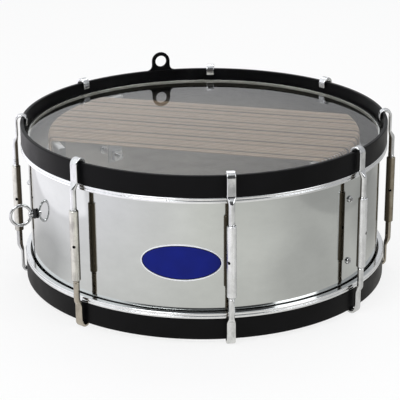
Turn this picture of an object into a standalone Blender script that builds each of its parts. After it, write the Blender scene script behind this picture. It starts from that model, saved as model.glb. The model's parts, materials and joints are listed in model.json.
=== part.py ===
"""Shallow metal snare drum with claw hooks, turnbuckle tubes and a cord snare under the top head.

Metres, +Z up. The drum stands on the lower claws at z = 0, with its axis on the Z axis.
-Y faces the person who looks at the drum, +X is to their right.
"""
import math

import bmesh
import bpy
from mathutils import Matrix, Vector

# Fit between pieces that touch, and the number of flats round the big turned pieces
GAP = 0.0003
AROUND = 54

# Shell: rolled steel sheet, nominally 14 by 5.5 inches, with its edges turned in
SHELL_D = 0.3600
SHELL_H = 0.1397
SHELL_WALL = 0.0012
EDGE_TURN = 0.0030
EDGE_FALL = 0.0012

# Counterhoops: flat black steel hoops outside the shell's edge
HOOP_OUT = 0.0065
HOOP_WALL = 0.0039
HOOP_H = 0.0210
HOOP_CHAMFER = 0.0009
HOOP_REACH = 0.0115

# Flesh rings, which hold the film heads, and the film itself
RING_PROUD = 0.0003
RING_W = 0.0050
RING_H = 0.0055
RING_CHAMFER = 0.0009
RING_GROOVE = 0.0005
FILM = 0.0003
FILM_TUCK = 0.0035
COLLAR_H = 0.0050

# Turnbuckles: eight tubes with a claw hook in each end
ROD_AZIMUTHS = (1.8, 43.8, 87.6, 135.7, 181.6, 230.8, 277.4, 321.5)
ROD_NAMES = ("right", "back_right", "back", "back_left", "left", "front_left", "front", "front_right")
TUBE_TURNS = (268.0, 60.0, 20.0, 70.0, 262.0, 262.0, 232.0, 335.0)
TUBE_DROPS = (0.0016, 0.0, 0.0, 0.0, 0.0048, 0.0, 0.0, 0.0)
ROD_OUT = 0.0070
THREAD_D = 0.0060
TUBE_D = 0.0090
TUBE_L = 0.0712
TUBE_CHAMFER = 0.0008
BORE_CLEARANCE = 0.0004
BAR_HOLE_D = 0.0032
THREAD_IN = 0.0260
TUBE_SIDES = 12

# Claw hooks: a strap bent over the hoop's edge, forged into a round rod
STRAP_W = 0.0084
STRAP_T = 0.0025
STRAP_EDGE = 0.0005
STRAP_OFF = 0.0033
CLAW_SEAT = 0.0018
CLAW_TIP = 0.0064
STRAP_L = 0.0178
NECK_L = 0.0085
CLAW_STEPS = 7
NECK_STEPS = 4

# Sling eye, welded on the top hoop's edge
EYE_AZIMUTH = 105.2
EYE_W = 0.0198
EYE_FOOT = 0.0290
EYE_FLARE = 0.0042
EYE_CENTRE = 0.0104
EYE_HOLE_D = 0.0126
EYE_T = 0.0030

# Snare: cords side by side under the top head, bent down over a curved bridge at each end
SNARE_TURN = -14.8
CORD_COUNT = 36
CORD_PITCH = 0.0044
CORD_D = 0.0018
CORD_BEND = 0.0040
SNARE_IN = 0.0220
CLAMP_DROP = 0.0196
CLAMP_H = 0.0120
CORD_TAIL = 0.0020
PLATE_T = 0.0020
FLANGE_W = 0.0070
CLAMP_BESIDE = 0.009053
CLAMP_SCREW_BESIDE = 0.005790
CLAMP_SCREW_D = 0.0025
BRIDGE_FLATS = 11

# Butt: two brackets screwed to the shell on the right
BUTT_AT = 24.4
BUTT_SCREW_IN = 0.03785
BRACKET_W = 0.0140
BRACKET_END = 0.0070
BUTT_SCREW_D = 0.0040
BUTT_HEAD_D = 0.0066
BUTT_HEAD_H = 0.0022
BUTT_SCREW_END = 0.0060

# Strainer: three screws through the shell draw the left bridge outwards
DRAW_AT = 35.6
LEG_W = 0.0180
LEG_DROP = 0.0080
DRAW_D = 0.0050
DRAW_CLEARANCE = 0.0004
SLOT_SLIP = 0.0032
DRAW_NUT_W = 0.0100
DRAW_NUT_H = 0.0050
DRAW_SPARE = 0.0060
WASHER_D = 0.0104
WASHER_H = 0.0028
CLIP_D = 0.0090
CLIP_H = 0.0015
LOOP_D = 0.0240
LOOP_WIRE = 0.0032
LOOP_NECK = 0.0008
LOOP_NECK_HALF_ANGLE = 22.0
WING_SPAN = 0.0210
WING_ROOT = 0.0090
WING_H = 0.0130
WING_T = 0.0018
WING_HUB_D = 0.0080
WING_HUB_H = 0.0060
WING_REST_TURN = 35.0
SMALL_SIDES = 10

# Places that follow from the sizes above
SHELL_R = SHELL_D / 2
SHELL_IN = SHELL_R - SHELL_WALL
HOOP_R = SHELL_R + HOOP_OUT
RING_R = HOOP_R + RING_PROUD
RING_IN = RING_R - RING_W
CLAW_INNER_R = (STRAP_OFF + HOOP_WALL) / 2 + GAP
CLAW_RISE = (CLAW_INNER_R + STRAP_T) * math.cos(math.pi / 2 / CLAW_STEPS) - CLAW_SEAT
HOOP_FOOT = CLAW_RISE
SHELL_FOOT = HOOP_FOOT + HOOP_REACH
SHELL_TOP = SHELL_FOOT + SHELL_H
HOOP_TOP = SHELL_TOP + HOOP_REACH
MIDDLE = (HOOP_FOOT + HOOP_TOP) / 2
ROD_R = HOOP_R + ROD_OUT
SNARE_R = SHELL_R - SNARE_IN
BED_HALF = (CORD_COUNT - 1) / 2 * CORD_PITCH
CORD_Z = SHELL_TOP - CORD_D / 2
WEB_R = SNARE_R - CORD_D / 2 - GAP
CLAMP_R = SNARE_R + CORD_D / 2 + GAP
BRIDGE_TOP = CORD_Z - CORD_D / 2 - GAP
CLAMP_TOP = SHELL_TOP - CLAMP_DROP
CLAMP_BOTTOM = CLAMP_TOP - CLAMP_H
CLAMP_HALF = math.degrees(math.asin((BED_HALF + CLAMP_BESIDE) / SNARE_R))
CLAMP_SCREW_AT = math.degrees(math.asin((BED_HALF + CLAMP_SCREW_BESIDE) / SNARE_R))
BUTT_LOW, BUTT_HIGH = SHELL_FOOT + BUTT_SCREW_IN, SHELL_TOP - BUTT_SCREW_IN
SHELL_FLAT_IN = SHELL_IN * math.cos(math.pi / AROUND)
STRAINER_AT = SNARE_TURN + 180.0

# Stands a flat outline up: its X stays, its Y becomes Z
UPRIGHT = Matrix(((1, 0, 0, 0), (0, 0, -1, 0), (0, 1, 0, 0), (0, 0, 0, 1)))


def material(name, colour, roughness, metallic):
    made = bpy.data.materials.new(name)
    made.use_nodes = True
    shader = made.node_tree.nodes["Principled BSDF"]
    shader.inputs["Base Color"].default_value = (*colour, 1.0)
    shader.inputs["Roughness"].default_value = roughness
    shader.inputs["Metallic"].default_value = metallic
    return made


def add_object(name, data, finish, collection, matrix=None):
    """An object in a collection, placed by location and rotation."""
    made = bpy.data.objects.new(name, data)
    collection.objects.link(made)
    if matrix is not None:
        made.matrix_world = matrix
    if finish is not None and not data.materials:
        data.materials.append(finish)
    return made


def shade(mesh, degrees=32.0):
    mesh.shade_smooth()
    mesh.set_sharp_from_angle(angle=math.radians(degrees))


def mesh_from(bm, name):
    bmesh.ops.recalc_face_normals(bm, faces=bm.faces)
    mesh = bpy.data.meshes.new(name)
    bm.to_mesh(mesh)
    bm.free()
    return mesh


def baked(source, name):
    """The evaluated mesh of an object, which is then removed."""
    bpy.context.view_layer.update()
    evaluated = source.evaluated_get(bpy.context.evaluated_depsgraph_get())
    mesh = bpy.data.meshes.new_from_object(evaluated)
    mesh.name = name
    bm = bmesh.new()
    bm.from_mesh(mesh)
    bmesh.ops.remove_doubles(bm, verts=bm.verts, dist=0.000001)
    bm.to_mesh(mesh)
    bm.free()
    bpy.data.objects.remove(source)
    return mesh


def radial(azimuth, radius, height):
    """A frame on a radius: local X points outwards, Y runs round the drum and Z is up."""
    turn = Matrix.Rotation(math.radians(azimuth), 4, "Z")
    return turn @ Matrix.Translation((radius, 0.0, height))


def along_radius(azimuth, radius, height):
    """A frame whose local Z points outwards along a radius and whose local X is up."""
    return radial(azimuth, radius, height) @ Matrix.Rotation(math.radians(90.0), 4, "Y") @ Matrix.Rotation(
        math.radians(180.0), 4, "Z")


def turned(name, profile, finish, collection, closed=True, flats=AROUND, wall=0.0, frame=None):
    """A profile of (radius, height) points turned round the Z axis, or round its frame's."""
    mesh = bpy.data.meshes.new(name)
    points = [(radius, 0.0, height) for radius, height in profile]
    links = [(i, i + 1) for i in range(len(points) - 1)]
    if closed:
        links.append((len(points) - 1, 0))
    mesh.from_pydata(points, links, [])
    made = add_object(name, mesh, finish, collection, frame)
    screw = made.modifiers.new("turn", "SCREW")
    screw.axis = "Z"
    screw.angle = math.tau
    screw.steps = flats
    screw.render_steps = flats
    screw.use_merge_vertices = True
    screw.merge_threshold = 0.00001
    screw.use_smooth_shade = True
    if wall:
        solid = made.modifiers.new("wall", "SOLIDIFY")
        solid.thickness = wall
        solid.offset = -1.0
        solid.use_even_offset = True
    return made


def arc_bar(profile, middle, half_angle, flats):
    """A closed profile of (radius, height) points swept along an arc, as a bmesh."""
    bm = bmesh.new()
    corners = [bm.verts.new((radius, 0.0, height)) for radius, height in profile]
    face = bm.faces.new(corners)
    start = Matrix.Rotation(math.radians(middle - half_angle), 3, "Z")
    bmesh.ops.rotate(bm, verts=bm.verts, cent=(0, 0, 0), matrix=start)
    bmesh.ops.spin(bm, geom=[face, *face.edges, *face.verts], cent=(0, 0, 0), axis=(0, 0, 1),
                   angle=math.radians(2 * half_angle), steps=flats, use_merge=False)
    return bm


def add_cylinder(bm, diameter, length, matrix, sides=SMALL_SIDES):
    """A cylinder in a bmesh, standing on the frame's origin along its local Z."""
    lift = Matrix.Translation((0.0, 0.0, length / 2))
    bmesh.ops.create_cone(bm, cap_ends=True, segments=sides, radius1=diameter / 2, radius2=diameter / 2,
                          depth=length, matrix=matrix @ lift)


def add_box(bm, size, matrix):
    scale = Matrix.Diagonal((*size, 1.0))
    bmesh.ops.create_cube(bm, size=1.0, matrix=matrix @ scale)


def cut(target, cutter, name="cut"):
    tool = target.modifiers.new(name, "BOOLEAN")
    tool.operation = "DIFFERENCE"
    tool.solver = "EXACT"
    tool.object = cutter


def join(target, other, name="join"):
    tool = target.modifiers.new(name, "BOOLEAN")
    tool.operation = "UNION"
    tool.solver = "EXACT"
    tool.object = other


def make_cutter(bm, name, collection):
    made = add_object(name, mesh_from(bm, name), None, collection)
    made.hide_render = True
    made.display_type = "WIRE"
    return made


def octagon(width, thickness, corner):
    """Eight corners of a bar's section: (across the bar's thickness, across its width)."""
    half_t, half_w = thickness / 2, width / 2
    inner_t, inner_w = half_t - corner, half_w - corner
    return (
        (half_t, -inner_w), (half_t, inner_w), (inner_t, half_w), (-inner_t, half_w),
        (-half_t, inner_w), (-half_t, -inner_w), (-inner_t, -half_w), (inner_t, -half_w),
    )


def loft(stations):
    """A bar lofted through stations of (x, z, width, thickness, corner), as a bmesh."""
    bm = bmesh.new()
    rings = []
    last = len(stations) - 1
    for i, (x, z, width, thickness, corner) in enumerate(stations):
        before, after = stations[max(i - 1, 0)], stations[min(i + 1, last)]
        along = Vector((after[0] - before[0], 0.0, after[1] - before[1])).normalized()
        across = Vector((along.z, 0.0, -along.x))
        side = Vector((0.0, 1.0, 0.0))
        centre = Vector((x, 0.0, z))
        section = octagon(width, thickness, corner)
        rings.append([bm.verts.new(centre + across * u + side * v) for u, v in section])
    for first, second in zip(rings, rings[1:]):
        for k in range(8):
            bm.faces.new((first[k], first[(k + 1) % 8], second[(k + 1) % 8], second[k]))
    bm.faces.new(rings[0])
    bm.faces.new(list(reversed(rings[-1])))
    return bm


def make_shell(parts, cutters, finish):
    turn = SHELL_R - EDGE_TURN
    profile = (
        (turn, SHELL_TOP - EDGE_FALL), (SHELL_R - EDGE_TURN / 2, SHELL_TOP),
        (SHELL_R, SHELL_TOP - EDGE_FALL), (SHELL_R, SHELL_FOOT + EDGE_FALL),
        (SHELL_R - EDGE_TURN / 2, SHELL_FOOT), (turn, SHELL_FOOT + EDGE_FALL),
    )
    shell = turned("shell", profile, finish, parts, closed=False, wall=SHELL_WALL)
    bm = bmesh.new()
    reach = 4 * SHELL_WALL
    for azimuth, height in butt_screw_places():
        frame = along_radius(azimuth, SHELL_R - reach, height)
        add_cylinder(bm, BUTT_SCREW_D + 2 * GAP, 2 * reach, frame)
    for azimuth in draw_azimuths():
        frame = along_radius(azimuth, SHELL_R - reach, MIDDLE)
        add_cylinder(bm, DRAW_D + 2 * DRAW_CLEARANCE, 2 * reach, frame)
    cut(shell, make_cutter(bm, "shell_holes", cutters))


def mirrored(profile):
    """A profile reflected in the drum's middle plane, still running down its outer side."""
    return [(radius, 2 * MIDDLE - height) for radius, height in reversed(profile)]


def make_heads(parts, finish):
    """Film cups over the shell's edges, their skirts tucked into the flesh rings."""
    inner = SHELL_R + GAP
    crest = SHELL_TOP + GAP + FILM
    ring_top = HOOP_TOP - HOOP_H - GAP
    seat = RING_IN - GAP
    profile = [
        (0.0, crest), (inner + FILM, crest), (inner + FILM, crest - COLLAR_H),
        (seat, ring_top), (seat, ring_top - FILM_TUCK),
    ]
    turned("top_head", profile, finish, parts, closed=False, wall=FILM)
    turned("bottom_head", mirrored(profile), finish, parts, closed=False, wall=FILM)


def make_flesh_rings(parts, finish):
    top = HOOP_TOP - HOOP_H - GAP
    foot = top - RING_H
    half = (top + foot) / 2
    profile = [
        (RING_IN, top), (RING_R - RING_CHAMFER, top), (RING_R, top - RING_CHAMFER),
        (RING_R - RING_GROOVE, half), (RING_R, foot + RING_CHAMFER), (RING_R - RING_CHAMFER, foot),
        (RING_IN, foot),
    ]
    turned("top_flesh_ring", profile, finish, parts)
    turned("bottom_flesh_ring", mirrored(profile), finish, parts)


def make_hoops(parts, finish):
    inner, foot = HOOP_R - HOOP_WALL, HOOP_TOP - HOOP_H
    profile = [
        (inner + HOOP_CHAMFER, HOOP_TOP), (HOOP_R - HOOP_CHAMFER, HOOP_TOP),
        (HOOP_R, HOOP_TOP - HOOP_CHAMFER), (HOOP_R, foot + HOOP_CHAMFER),
        (HOOP_R - HOOP_CHAMFER, foot), (inner, foot), (inner, HOOP_TOP - HOOP_CHAMFER),
    ]
    turned("top_hoop", profile, finish, parts)
    turned("bottom_hoop", mirrored(profile), finish, parts)


def hook_mesh():
    """The upper claw hook in its rod's frame: X outwards, Z up from the drum's middle."""
    strap_x = STRAP_OFF + STRAP_T / 2 - ROD_OUT
    bend_r = CLAW_INNER_R + STRAP_T / 2
    bend_x = strap_x - bend_r
    top = HOOP_TOP - MIDDLE
    bend_z = top - CLAW_SEAT
    flat = (STRAP_W, STRAP_T, STRAP_EDGE)
    across = THREAD_D * math.cos(math.pi / 8)
    rod_corner = across * (1.0 - math.tan(math.pi / 8)) / 2
    rod = (across, across, rod_corner)
    stations = [(bend_x - bend_r, bend_z - CLAW_TIP, *flat)]
    for i in range(CLAW_STEPS + 1):
        angle = math.pi * (1.0 - i / CLAW_STEPS)
        stations.append((bend_x + bend_r * math.cos(angle), bend_z + bend_r * math.sin(angle), *flat))
    neck_top = top - STRAP_L
    for i in range(NECK_STEPS + 1):
        share = i / NECK_STEPS
        ease = share * share * (3.0 - 2.0 * share)
        size = [a + (b - a) * ease for a, b in zip(flat, rod)]
        stations.append((strap_x * (1.0 - ease), neck_top - NECK_L * share, *size))
    rod_end = TUBE_L / 2 - THREAD_IN
    stations.append((0.0, rod_end, *rod))
    mesh = mesh_from(loft(stations), "claw_hook")
    shade(mesh, 40.0)
    return mesh


def tube_mesh(parts, cutters):
    """A turnbuckle tube, centred on its frame, with a cross hole for a tommy bar."""
    outer, bore = TUBE_D / 2, THREAD_D / 2 + BORE_CLEARANCE
    half = TUBE_L / 2
    profile = [
        (bore, half), (outer - TUBE_CHAMFER, half), (outer, half - TUBE_CHAMFER),
        (outer, TUBE_CHAMFER - half), (outer - TUBE_CHAMFER, -half), (bore, -half),
    ]
    made = turned("tube_pattern", profile, None, parts, flats=TUBE_SIDES)
    bm = bmesh.new()
    across = Matrix.Translation((-TUBE_D, 0.0, 0.0)) @ Matrix.Rotation(math.radians(90.0), 4, "Y")
    add_cylinder(bm, BAR_HOLE_D, 2 * TUBE_D, across, sides=8)
    cut(made, make_cutter(bm, "bar_hole", cutters))
    mesh = baked(made, "tube")
    shade(mesh)
    return mesh


def make_turnbuckles(parts, cutters, tube_finish, hook_finish):
    upper = hook_mesh()
    lower = upper.copy()
    lower.name = "claw_hook_lower"
    lower.transform(Matrix.Diagonal((1.0, 1.0, -1.0, 1.0)))
    lower.flip_normals()
    tube = tube_mesh(parts, cutters)
    for name, azimuth, turn, drop in zip(ROD_NAMES, ROD_AZIMUTHS, TUBE_TURNS, TUBE_DROPS):
        frame = radial(azimuth, ROD_R, MIDDLE)
        spin = Matrix.Rotation(math.radians(turn - azimuth), 4, "Z")
        lower_by = Matrix.Translation((0.0, 0.0, -drop))
        add_object("tube_" + name, tube, tube_finish, parts, frame @ spin @ lower_by)
        add_object("top_hook_" + name, upper, hook_finish, parts, frame)
        add_object("bottom_hook_" + name, lower, hook_finish, parts, frame)


def round_points(radius, centre_y, sweep, steps):
    """Points along an arc that starts on the right of its centre (0, centre_y)."""
    angles = [sweep * i / steps for i in range(steps + 1)]
    return [(radius * math.cos(angle), centre_y + radius * math.sin(angle)) for angle in angles]


def make_eye(parts, finish):
    """A flat plate with a round top, a hole and a flared foot."""
    outline = [(-EYE_FOOT / 2, 0.0), (EYE_FOOT / 2, 0.0), (EYE_W / 2, EYE_FLARE)]
    outline += round_points(EYE_W / 2, EYE_CENTRE, math.pi, 10)
    outline.append((-EYE_W / 2, EYE_FLARE))
    hole = round_points(EYE_HOLE_D / 2, EYE_CENTRE, math.tau, 16)[:-1]
    curve = flat_curve("sling_eye", (outline, hole), EYE_T)
    across = Matrix(((0, 0, 1, 0), (1, 0, 0, 0), (0, 1, 0, 0), (0, 0, 0, 1)))
    radius = HOOP_R - HOOP_WALL / 2
    add_object("sling_eye", curve, finish, parts, radial(EYE_AZIMUTH, radius, HOOP_TOP + GAP) @ across)


def flat_curve(name, outlines, thickness):
    curve = bpy.data.curves.new(name, "CURVE")
    curve.dimensions = "2D"
    curve.fill_mode = "BOTH"
    curve.extrude = thickness / 2
    for outline in outlines:
        spline = curve.splines.new("POLY")
        spline.points.add(len(outline) - 1)
        for point, (x, y) in zip(spline.points, outline):
            point.co = (x, y, 0.0, 1.0)
        spline.use_cyclic_u = True
    return curve


def cord_end(reach):
    """A run's end in its own plane, from the clamp up and round on to the flat: (x, z) points."""
    points = [(reach, CLAMP_BOTTOM + CORD_TAIL)]
    for step in range(3):
        angle = math.pi / 4 * step
        drop = CORD_BEND * (1 - math.sin(angle))
        points.append((reach - CORD_BEND * (1 - math.cos(angle)), CORD_Z - drop))
    return points


def make_cords(parts, finish):
    """One cord laced to and fro along the snare's X, turning back inside the clamp at each end."""
    route = []
    for i in range(CORD_COUNT):
        y = i * CORD_PITCH - BED_HALF
        end = cord_end(math.sqrt(SNARE_R ** 2 - y * y))
        run = end + [(-x, z) for x, z in reversed(end)]
        if i % 2:
            run.reverse()
        route += [(x, y, z) for x, z in run]
    curve = bpy.data.curves.new("snare_cord", "CURVE")
    curve.dimensions = "3D"
    curve.bevel_depth = CORD_D / 2
    curve.bevel_resolution = 1
    curve.use_fill_caps = True
    spline = curve.splines.new("POLY")
    spline.points.add(len(route) - 1)
    for point, place in zip(spline.points, route):
        point.co = (*place, 1.0)
    add_object("snare_cord", curve, finish, parts, Matrix.Rotation(math.radians(SNARE_TURN), 4, "Z"))
    print(f"least gap between runs of the snare cord: {(CORD_PITCH - CORD_D) * 1000:.2f} mm")


def bridge_profile(foot):
    """A folded angle: a web inside the cords, and a flange with a round shoulder under them."""
    shoulder = (CORD_BEND - CORD_D / 2) * math.cos(math.pi / 8) - GAP
    points = []
    for step in range(4):
        angle = math.pi / 6 * step
        drop = shoulder * (1 - math.cos(angle))
        points.append((WEB_R - shoulder * (1 - math.sin(angle)), BRIDGE_TOP - drop))
    points += [(WEB_R, foot), (WEB_R - PLATE_T, foot), (WEB_R - PLATE_T, BRIDGE_TOP - shoulder),
               (WEB_R - shoulder, BRIDGE_TOP - PLATE_T), (WEB_R - FLANGE_W, BRIDGE_TOP - PLATE_T),
               (WEB_R - FLANGE_W, BRIDGE_TOP)]
    return points


def clamp_profile():
    return [(CLAMP_R, CLAMP_TOP), (CLAMP_R + PLATE_T, CLAMP_TOP), (CLAMP_R + PLATE_T, CLAMP_BOTTOM),
            (CLAMP_R, CLAMP_BOTTOM)]


def pan_screw(name, diameter, head_d, head_h, length, frame, finish, parts, sides=SMALL_SIDES):
    """A pan-head screw: its head stands on the frame's origin, its shank goes down local Z."""
    profile = [(0.0, head_h), (head_d * 0.3, head_h), (head_d / 2, head_h * 0.55), (head_d / 2, 0.0),
               (diameter / 2, 0.0), (diameter / 2, -length), (0.0, -length)]
    turned(name, profile, finish, parts, closed=False, flats=sides, frame=frame)


def make_clamp(name, middle, bridge, parts, cutters, finish):
    """The outer clamp plate with its two screws, which go through the plate and the bridge."""
    bar = arc_bar(clamp_profile(), middle, CLAMP_HALF, BRIDGE_FLATS)
    plate = add_object(name + "_plate", mesh_from(bar, name + "_plate"), finish, parts)
    height = (CLAMP_TOP + CLAMP_BOTTOM) / 2
    outer = CLAMP_R + PLATE_T
    depth = outer - (WEB_R - PLATE_T)
    holes = bmesh.new()
    for label, way in (("front", -1), ("back", 1)):
        side = way if middle == SNARE_TURN else -way
        azimuth = middle + side * CLAMP_SCREW_AT
        inner_end = along_radius(azimuth, outer - depth - PLATE_T, height)
        add_cylinder(holes, CLAMP_SCREW_D + 2 * GAP, depth + 2 * PLATE_T, inner_end)
        seat = along_radius(azimuth, outer + GAP, height)
        pan_screw(f"{name}_screw_{label}", CLAMP_SCREW_D, 2 * CLAMP_SCREW_D, CLAMP_SCREW_D / 2, depth + GAP,
                  seat, finish, parts, sides=8)
    cutter = make_cutter(holes, name + "_holes", cutters)
    cut(plate, cutter)
    cut(bridge, cutter, "clamp holes")


def butt_screw_places():
    """Azimuth and height of each screw that holds a butt bracket."""
    sides = (SNARE_TURN - BUTT_AT, SNARE_TURN + BUTT_AT)
    return [(azimuth, height) for azimuth in sides for height in (BUTT_LOW, BUTT_HIGH)]


def make_butt(parts, cutters, steel, bright):
    """The right-hand bridge, its clamp, and the brackets and screws that hold them to the shell."""
    band = arc_bar(bridge_profile(CLAMP_BOTTOM), SNARE_TURN, CLAMP_HALF, BRIDGE_FLATS)
    bridge = add_object("butt_bridge", mesh_from(band, "butt_bridge"), steel, parts)
    make_clamp("butt_clamp", SNARE_TURN, bridge, parts, cutters, steel)

    arm_r = CLAMP_R + PLATE_T + GAP
    arm_z = CLAMP_BOTTOM - PLATE_T
    foot = BUTT_LOW - BRACKET_END
    side = math.sqrt((SHELL_FLAT_IN - GAP) ** 2 - (BRACKET_W / 2) ** 2)
    outline = [
        (side, foot), (side, CLAMP_BOTTOM), (arm_r + PLATE_T, CLAMP_BOTTOM), (arm_r + PLATE_T, CLAMP_TOP),
        (arm_r, CLAMP_TOP), (arm_r, arm_z), (side - PLATE_T, arm_z), (side - PLATE_T, foot),
    ]
    holes = bmesh.new()
    labels = ("front_low", "front_high", "back_low", "back_high")
    for (azimuth, height), label in zip(butt_screw_places(), labels):
        inner_end = along_radius(azimuth, side - 3 * PLATE_T, height)
        add_cylinder(holes, BUTT_SCREW_D + 2 * GAP, 4 * PLATE_T, inner_end)
        seat = along_radius(azimuth, SHELL_R + GAP, height)
        length = SHELL_R - side + BUTT_SCREW_END
        pan_screw("butt_screw_" + label, BUTT_SCREW_D, BUTT_HEAD_D, BUTT_HEAD_H, length,
                  seat, bright, parts)
    cutter = make_cutter(holes, "bracket_holes", cutters)
    for label, way in (("front", -1), ("back", 1)):
        name = "butt_bracket_" + label
        turn = Matrix.Rotation(math.radians(SNARE_TURN + way * BUTT_AT), 4, "Z")
        mesh = baked(add_object(name, flat_curve(name, (outline,), BRACKET_W), None, parts), name)
        mesh.transform(turn @ UPRIGHT)
        cut(add_object(name, mesh, steel, parts), cutter)


def draw_azimuths():
    """The strainer's three screws: front, middle and back."""
    return (STRAINER_AT + DRAW_AT, STRAINER_AT, STRAINER_AT - DRAW_AT)


def loop_outline():
    """The centre line of a drawn ring with a pointed neck, in the plane of local Z and X."""
    radius = (LOOP_D - LOOP_WIRE) / 2
    neck = math.radians(LOOP_NECK_HALF_ANGLE)
    centre = LOOP_NECK + radius / math.cos(neck)
    points = [(LOOP_NECK, 0.0)]
    steps = 14
    for i in range(steps + 1):
        angle = math.pi - neck - (math.tau - 2 * neck) * i / steps
        points.append((centre + radius * math.cos(angle), radius * math.sin(angle)))
    return points


def draw_shaft(bm, head):
    """A draw screw's shank, from its inner end out to its head, with Z = 0 on the shell's outer face."""
    inner = WEB_R - PLATE_T - GAP - DRAW_NUT_H - DRAW_SPARE
    start = inner - SHELL_R
    add_cylinder(bm, DRAW_D, head - start, Matrix.Translation((0.0, 0.0, start)), sides=12)


def make_ring_screw(name, azimuth, parts, cutters, finish):
    head = GAP + WASHER_H + GAP
    curve = bpy.data.curves.new(name + "_loop", "CURVE")
    curve.dimensions = "3D"
    curve.bevel_depth = LOOP_WIRE / 2
    curve.bevel_resolution = 1
    spline = curve.splines.new("POLY")
    route = loop_outline()
    spline.points.add(len(route) - 1)
    for point, (out, up) in zip(spline.points, route):
        point.co = (up, 0.0, head + out, 1.0)
    spline.use_cyclic_u = True
    loop_name = name + "_loop"
    loop = make_cutter_from(baked(add_object(loop_name, curve, None, parts), loop_name), cutters)
    frame = along_radius(azimuth, SHELL_R, MIDDLE)
    loop.matrix_world = frame
    bm = bmesh.new()
    draw_shaft(bm, head + LOOP_NECK)
    screw = add_object(name, mesh_from(bm, name), finish, parts, frame)
    join(screw, loop)


def make_cutter_from(mesh, cutters):
    made = add_object(mesh.name, mesh, None, cutters)
    made.hide_render = True
    made.display_type = "WIRE"
    return made


def make_wing_screw(name, azimuth, parts, cutters, finish):
    head = GAP + WASHER_H + GAP
    half_span, half_root = WING_SPAN / 2, WING_ROOT / 2
    lift = WING_HUB_H / 2
    right_side = [
        (half_root, head + lift / 2), (half_span, head + WING_H * 0.55),
        (half_span * 0.85, head + WING_H), (half_root * 0.8, head + WING_H * 0.72),
    ]
    outline = right_side + [(-across, out) for across, out in reversed(right_side)]
    wing_name = name + "_wing"
    mesh = baked(add_object(wing_name, flat_curve(wing_name, (outline,), WING_T), None, parts), wing_name)
    mesh.transform(UPRIGHT)
    wing = make_cutter_from(mesh, cutters)
    frame = along_radius(azimuth, SHELL_R, MIDDLE) @ Matrix.Rotation(math.radians(WING_REST_TURN), 4, "Z")
    wing.matrix_world = frame
    bm = bmesh.new()
    draw_shaft(bm, head + WING_HUB_H / 2)
    screw = add_object(name, mesh_from(bm, name), finish, parts, frame)
    hub = bmesh.new()
    add_cylinder(hub, WING_HUB_D, WING_HUB_H, Matrix.Translation((0.0, 0.0, head)), sides=12)
    knob = make_cutter(hub, name + "_hub", cutters)
    knob.matrix_world = frame
    join(screw, knob, "hub")
    join(screw, wing, "wing")


def make_strainer(parts, cutters, steel, bright, rubber):
    """The left-hand bridge on three legs, its clamp, and the screws, nuts and washers that draw it."""
    leg_foot = MIDDLE - LEG_DROP
    leg_half = math.degrees(LEG_W / 2 / WEB_R)
    band = arc_bar(bridge_profile(leg_foot), STRAINER_AT, DRAW_AT + leg_half, BRIDGE_FLATS + 2)
    bridge = add_object("strainer_bridge", mesh_from(band, "strainer_bridge"), steel, parts)
    web_in = WEB_R - PLATE_T
    outer, inner, below = WEB_R + PLATE_T, web_in - PLATE_T, leg_foot - PLATE_T
    window = [(outer, CLAMP_BOTTOM), (outer, below), (inner, below), (inner, CLAMP_BOTTOM)]
    for label, way in (("front", 1), ("back", -1)):
        name = "strainer_window_" + label
        shape = arc_bar(window, STRAINER_AT + way * DRAW_AT / 2, DRAW_AT / 2 - leg_half, BRIDGE_FLATS)
        cut(bridge, make_cutter(shape, name, cutters), name)
    make_clamp("strainer_clamp", STRAINER_AT, bridge, parts, cutters, steel)
    slots = bmesh.new()
    slot_w = DRAW_D + 2 * DRAW_CLEARANCE
    for azimuth, slip in zip(draw_azimuths(), (SLOT_SLIP, 0.0, SLOT_SLIP)):
        frame = along_radius(azimuth, WEB_R - PLATE_T / 2, MIDDLE)
        if slip:
            add_box(slots, (slot_w, slot_w + 2 * slip, 3 * PLATE_T), frame)
        else:
            inner_end = frame @ Matrix.Translation((0.0, 0.0, -1.5 * PLATE_T))
            add_cylinder(slots, slot_w, 3 * PLATE_T, inner_end)
    cut(bridge, make_cutter(slots, "strainer_slots", cutters), "slots")

    make_ring_screw("ring_screw_front", draw_azimuths()[0], parts, cutters, bright)
    make_wing_screw("wing_screw", draw_azimuths()[1], parts, cutters, bright)
    make_ring_screw("ring_screw_back", draw_azimuths()[2], parts, cutters, bright)

    bore = slot_w / 2
    clip_r = SHELL_FLAT_IN - GAP - CLIP_H
    nut_r = web_in - GAP - DRAW_NUT_H / 2
    for label, azimuth in zip(("front", "middle", "back"), draw_azimuths()):
        washer = [(bore, WASHER_H), (WASHER_D / 2, WASHER_H), (WASHER_D / 2, 0.0), (bore, 0.0)]
        turned("grip_washer_" + label, washer, rubber, parts, flats=12,
               frame=along_radius(azimuth, SHELL_R + GAP, MIDDLE))
        clip = [(bore, CLIP_H), (CLIP_D / 2, CLIP_H), (CLIP_D / 2, 0.0), (bore, 0.0)]
        turned("retaining_clip_" + label, clip, bright, parts, flats=12,
               frame=along_radius(azimuth, clip_r, MIDDLE))
        frame = along_radius(azimuth, nut_r, MIDDLE)
        block, hole = bmesh.new(), bmesh.new()
        add_box(block, (DRAW_NUT_W, DRAW_NUT_W, DRAW_NUT_H), Matrix.Identity(4))
        add_cylinder(hole, slot_w, 2 * DRAW_NUT_H, Matrix.Translation((0.0, 0.0, -DRAW_NUT_H)), sides=12)
        name = "draw_nut_" + label
        tool = make_cutter(hole, name + "_bore", cutters)
        tool.matrix_world = frame
        cut(add_object(name, mesh_from(block, name), bright, parts, frame), tool)


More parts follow.
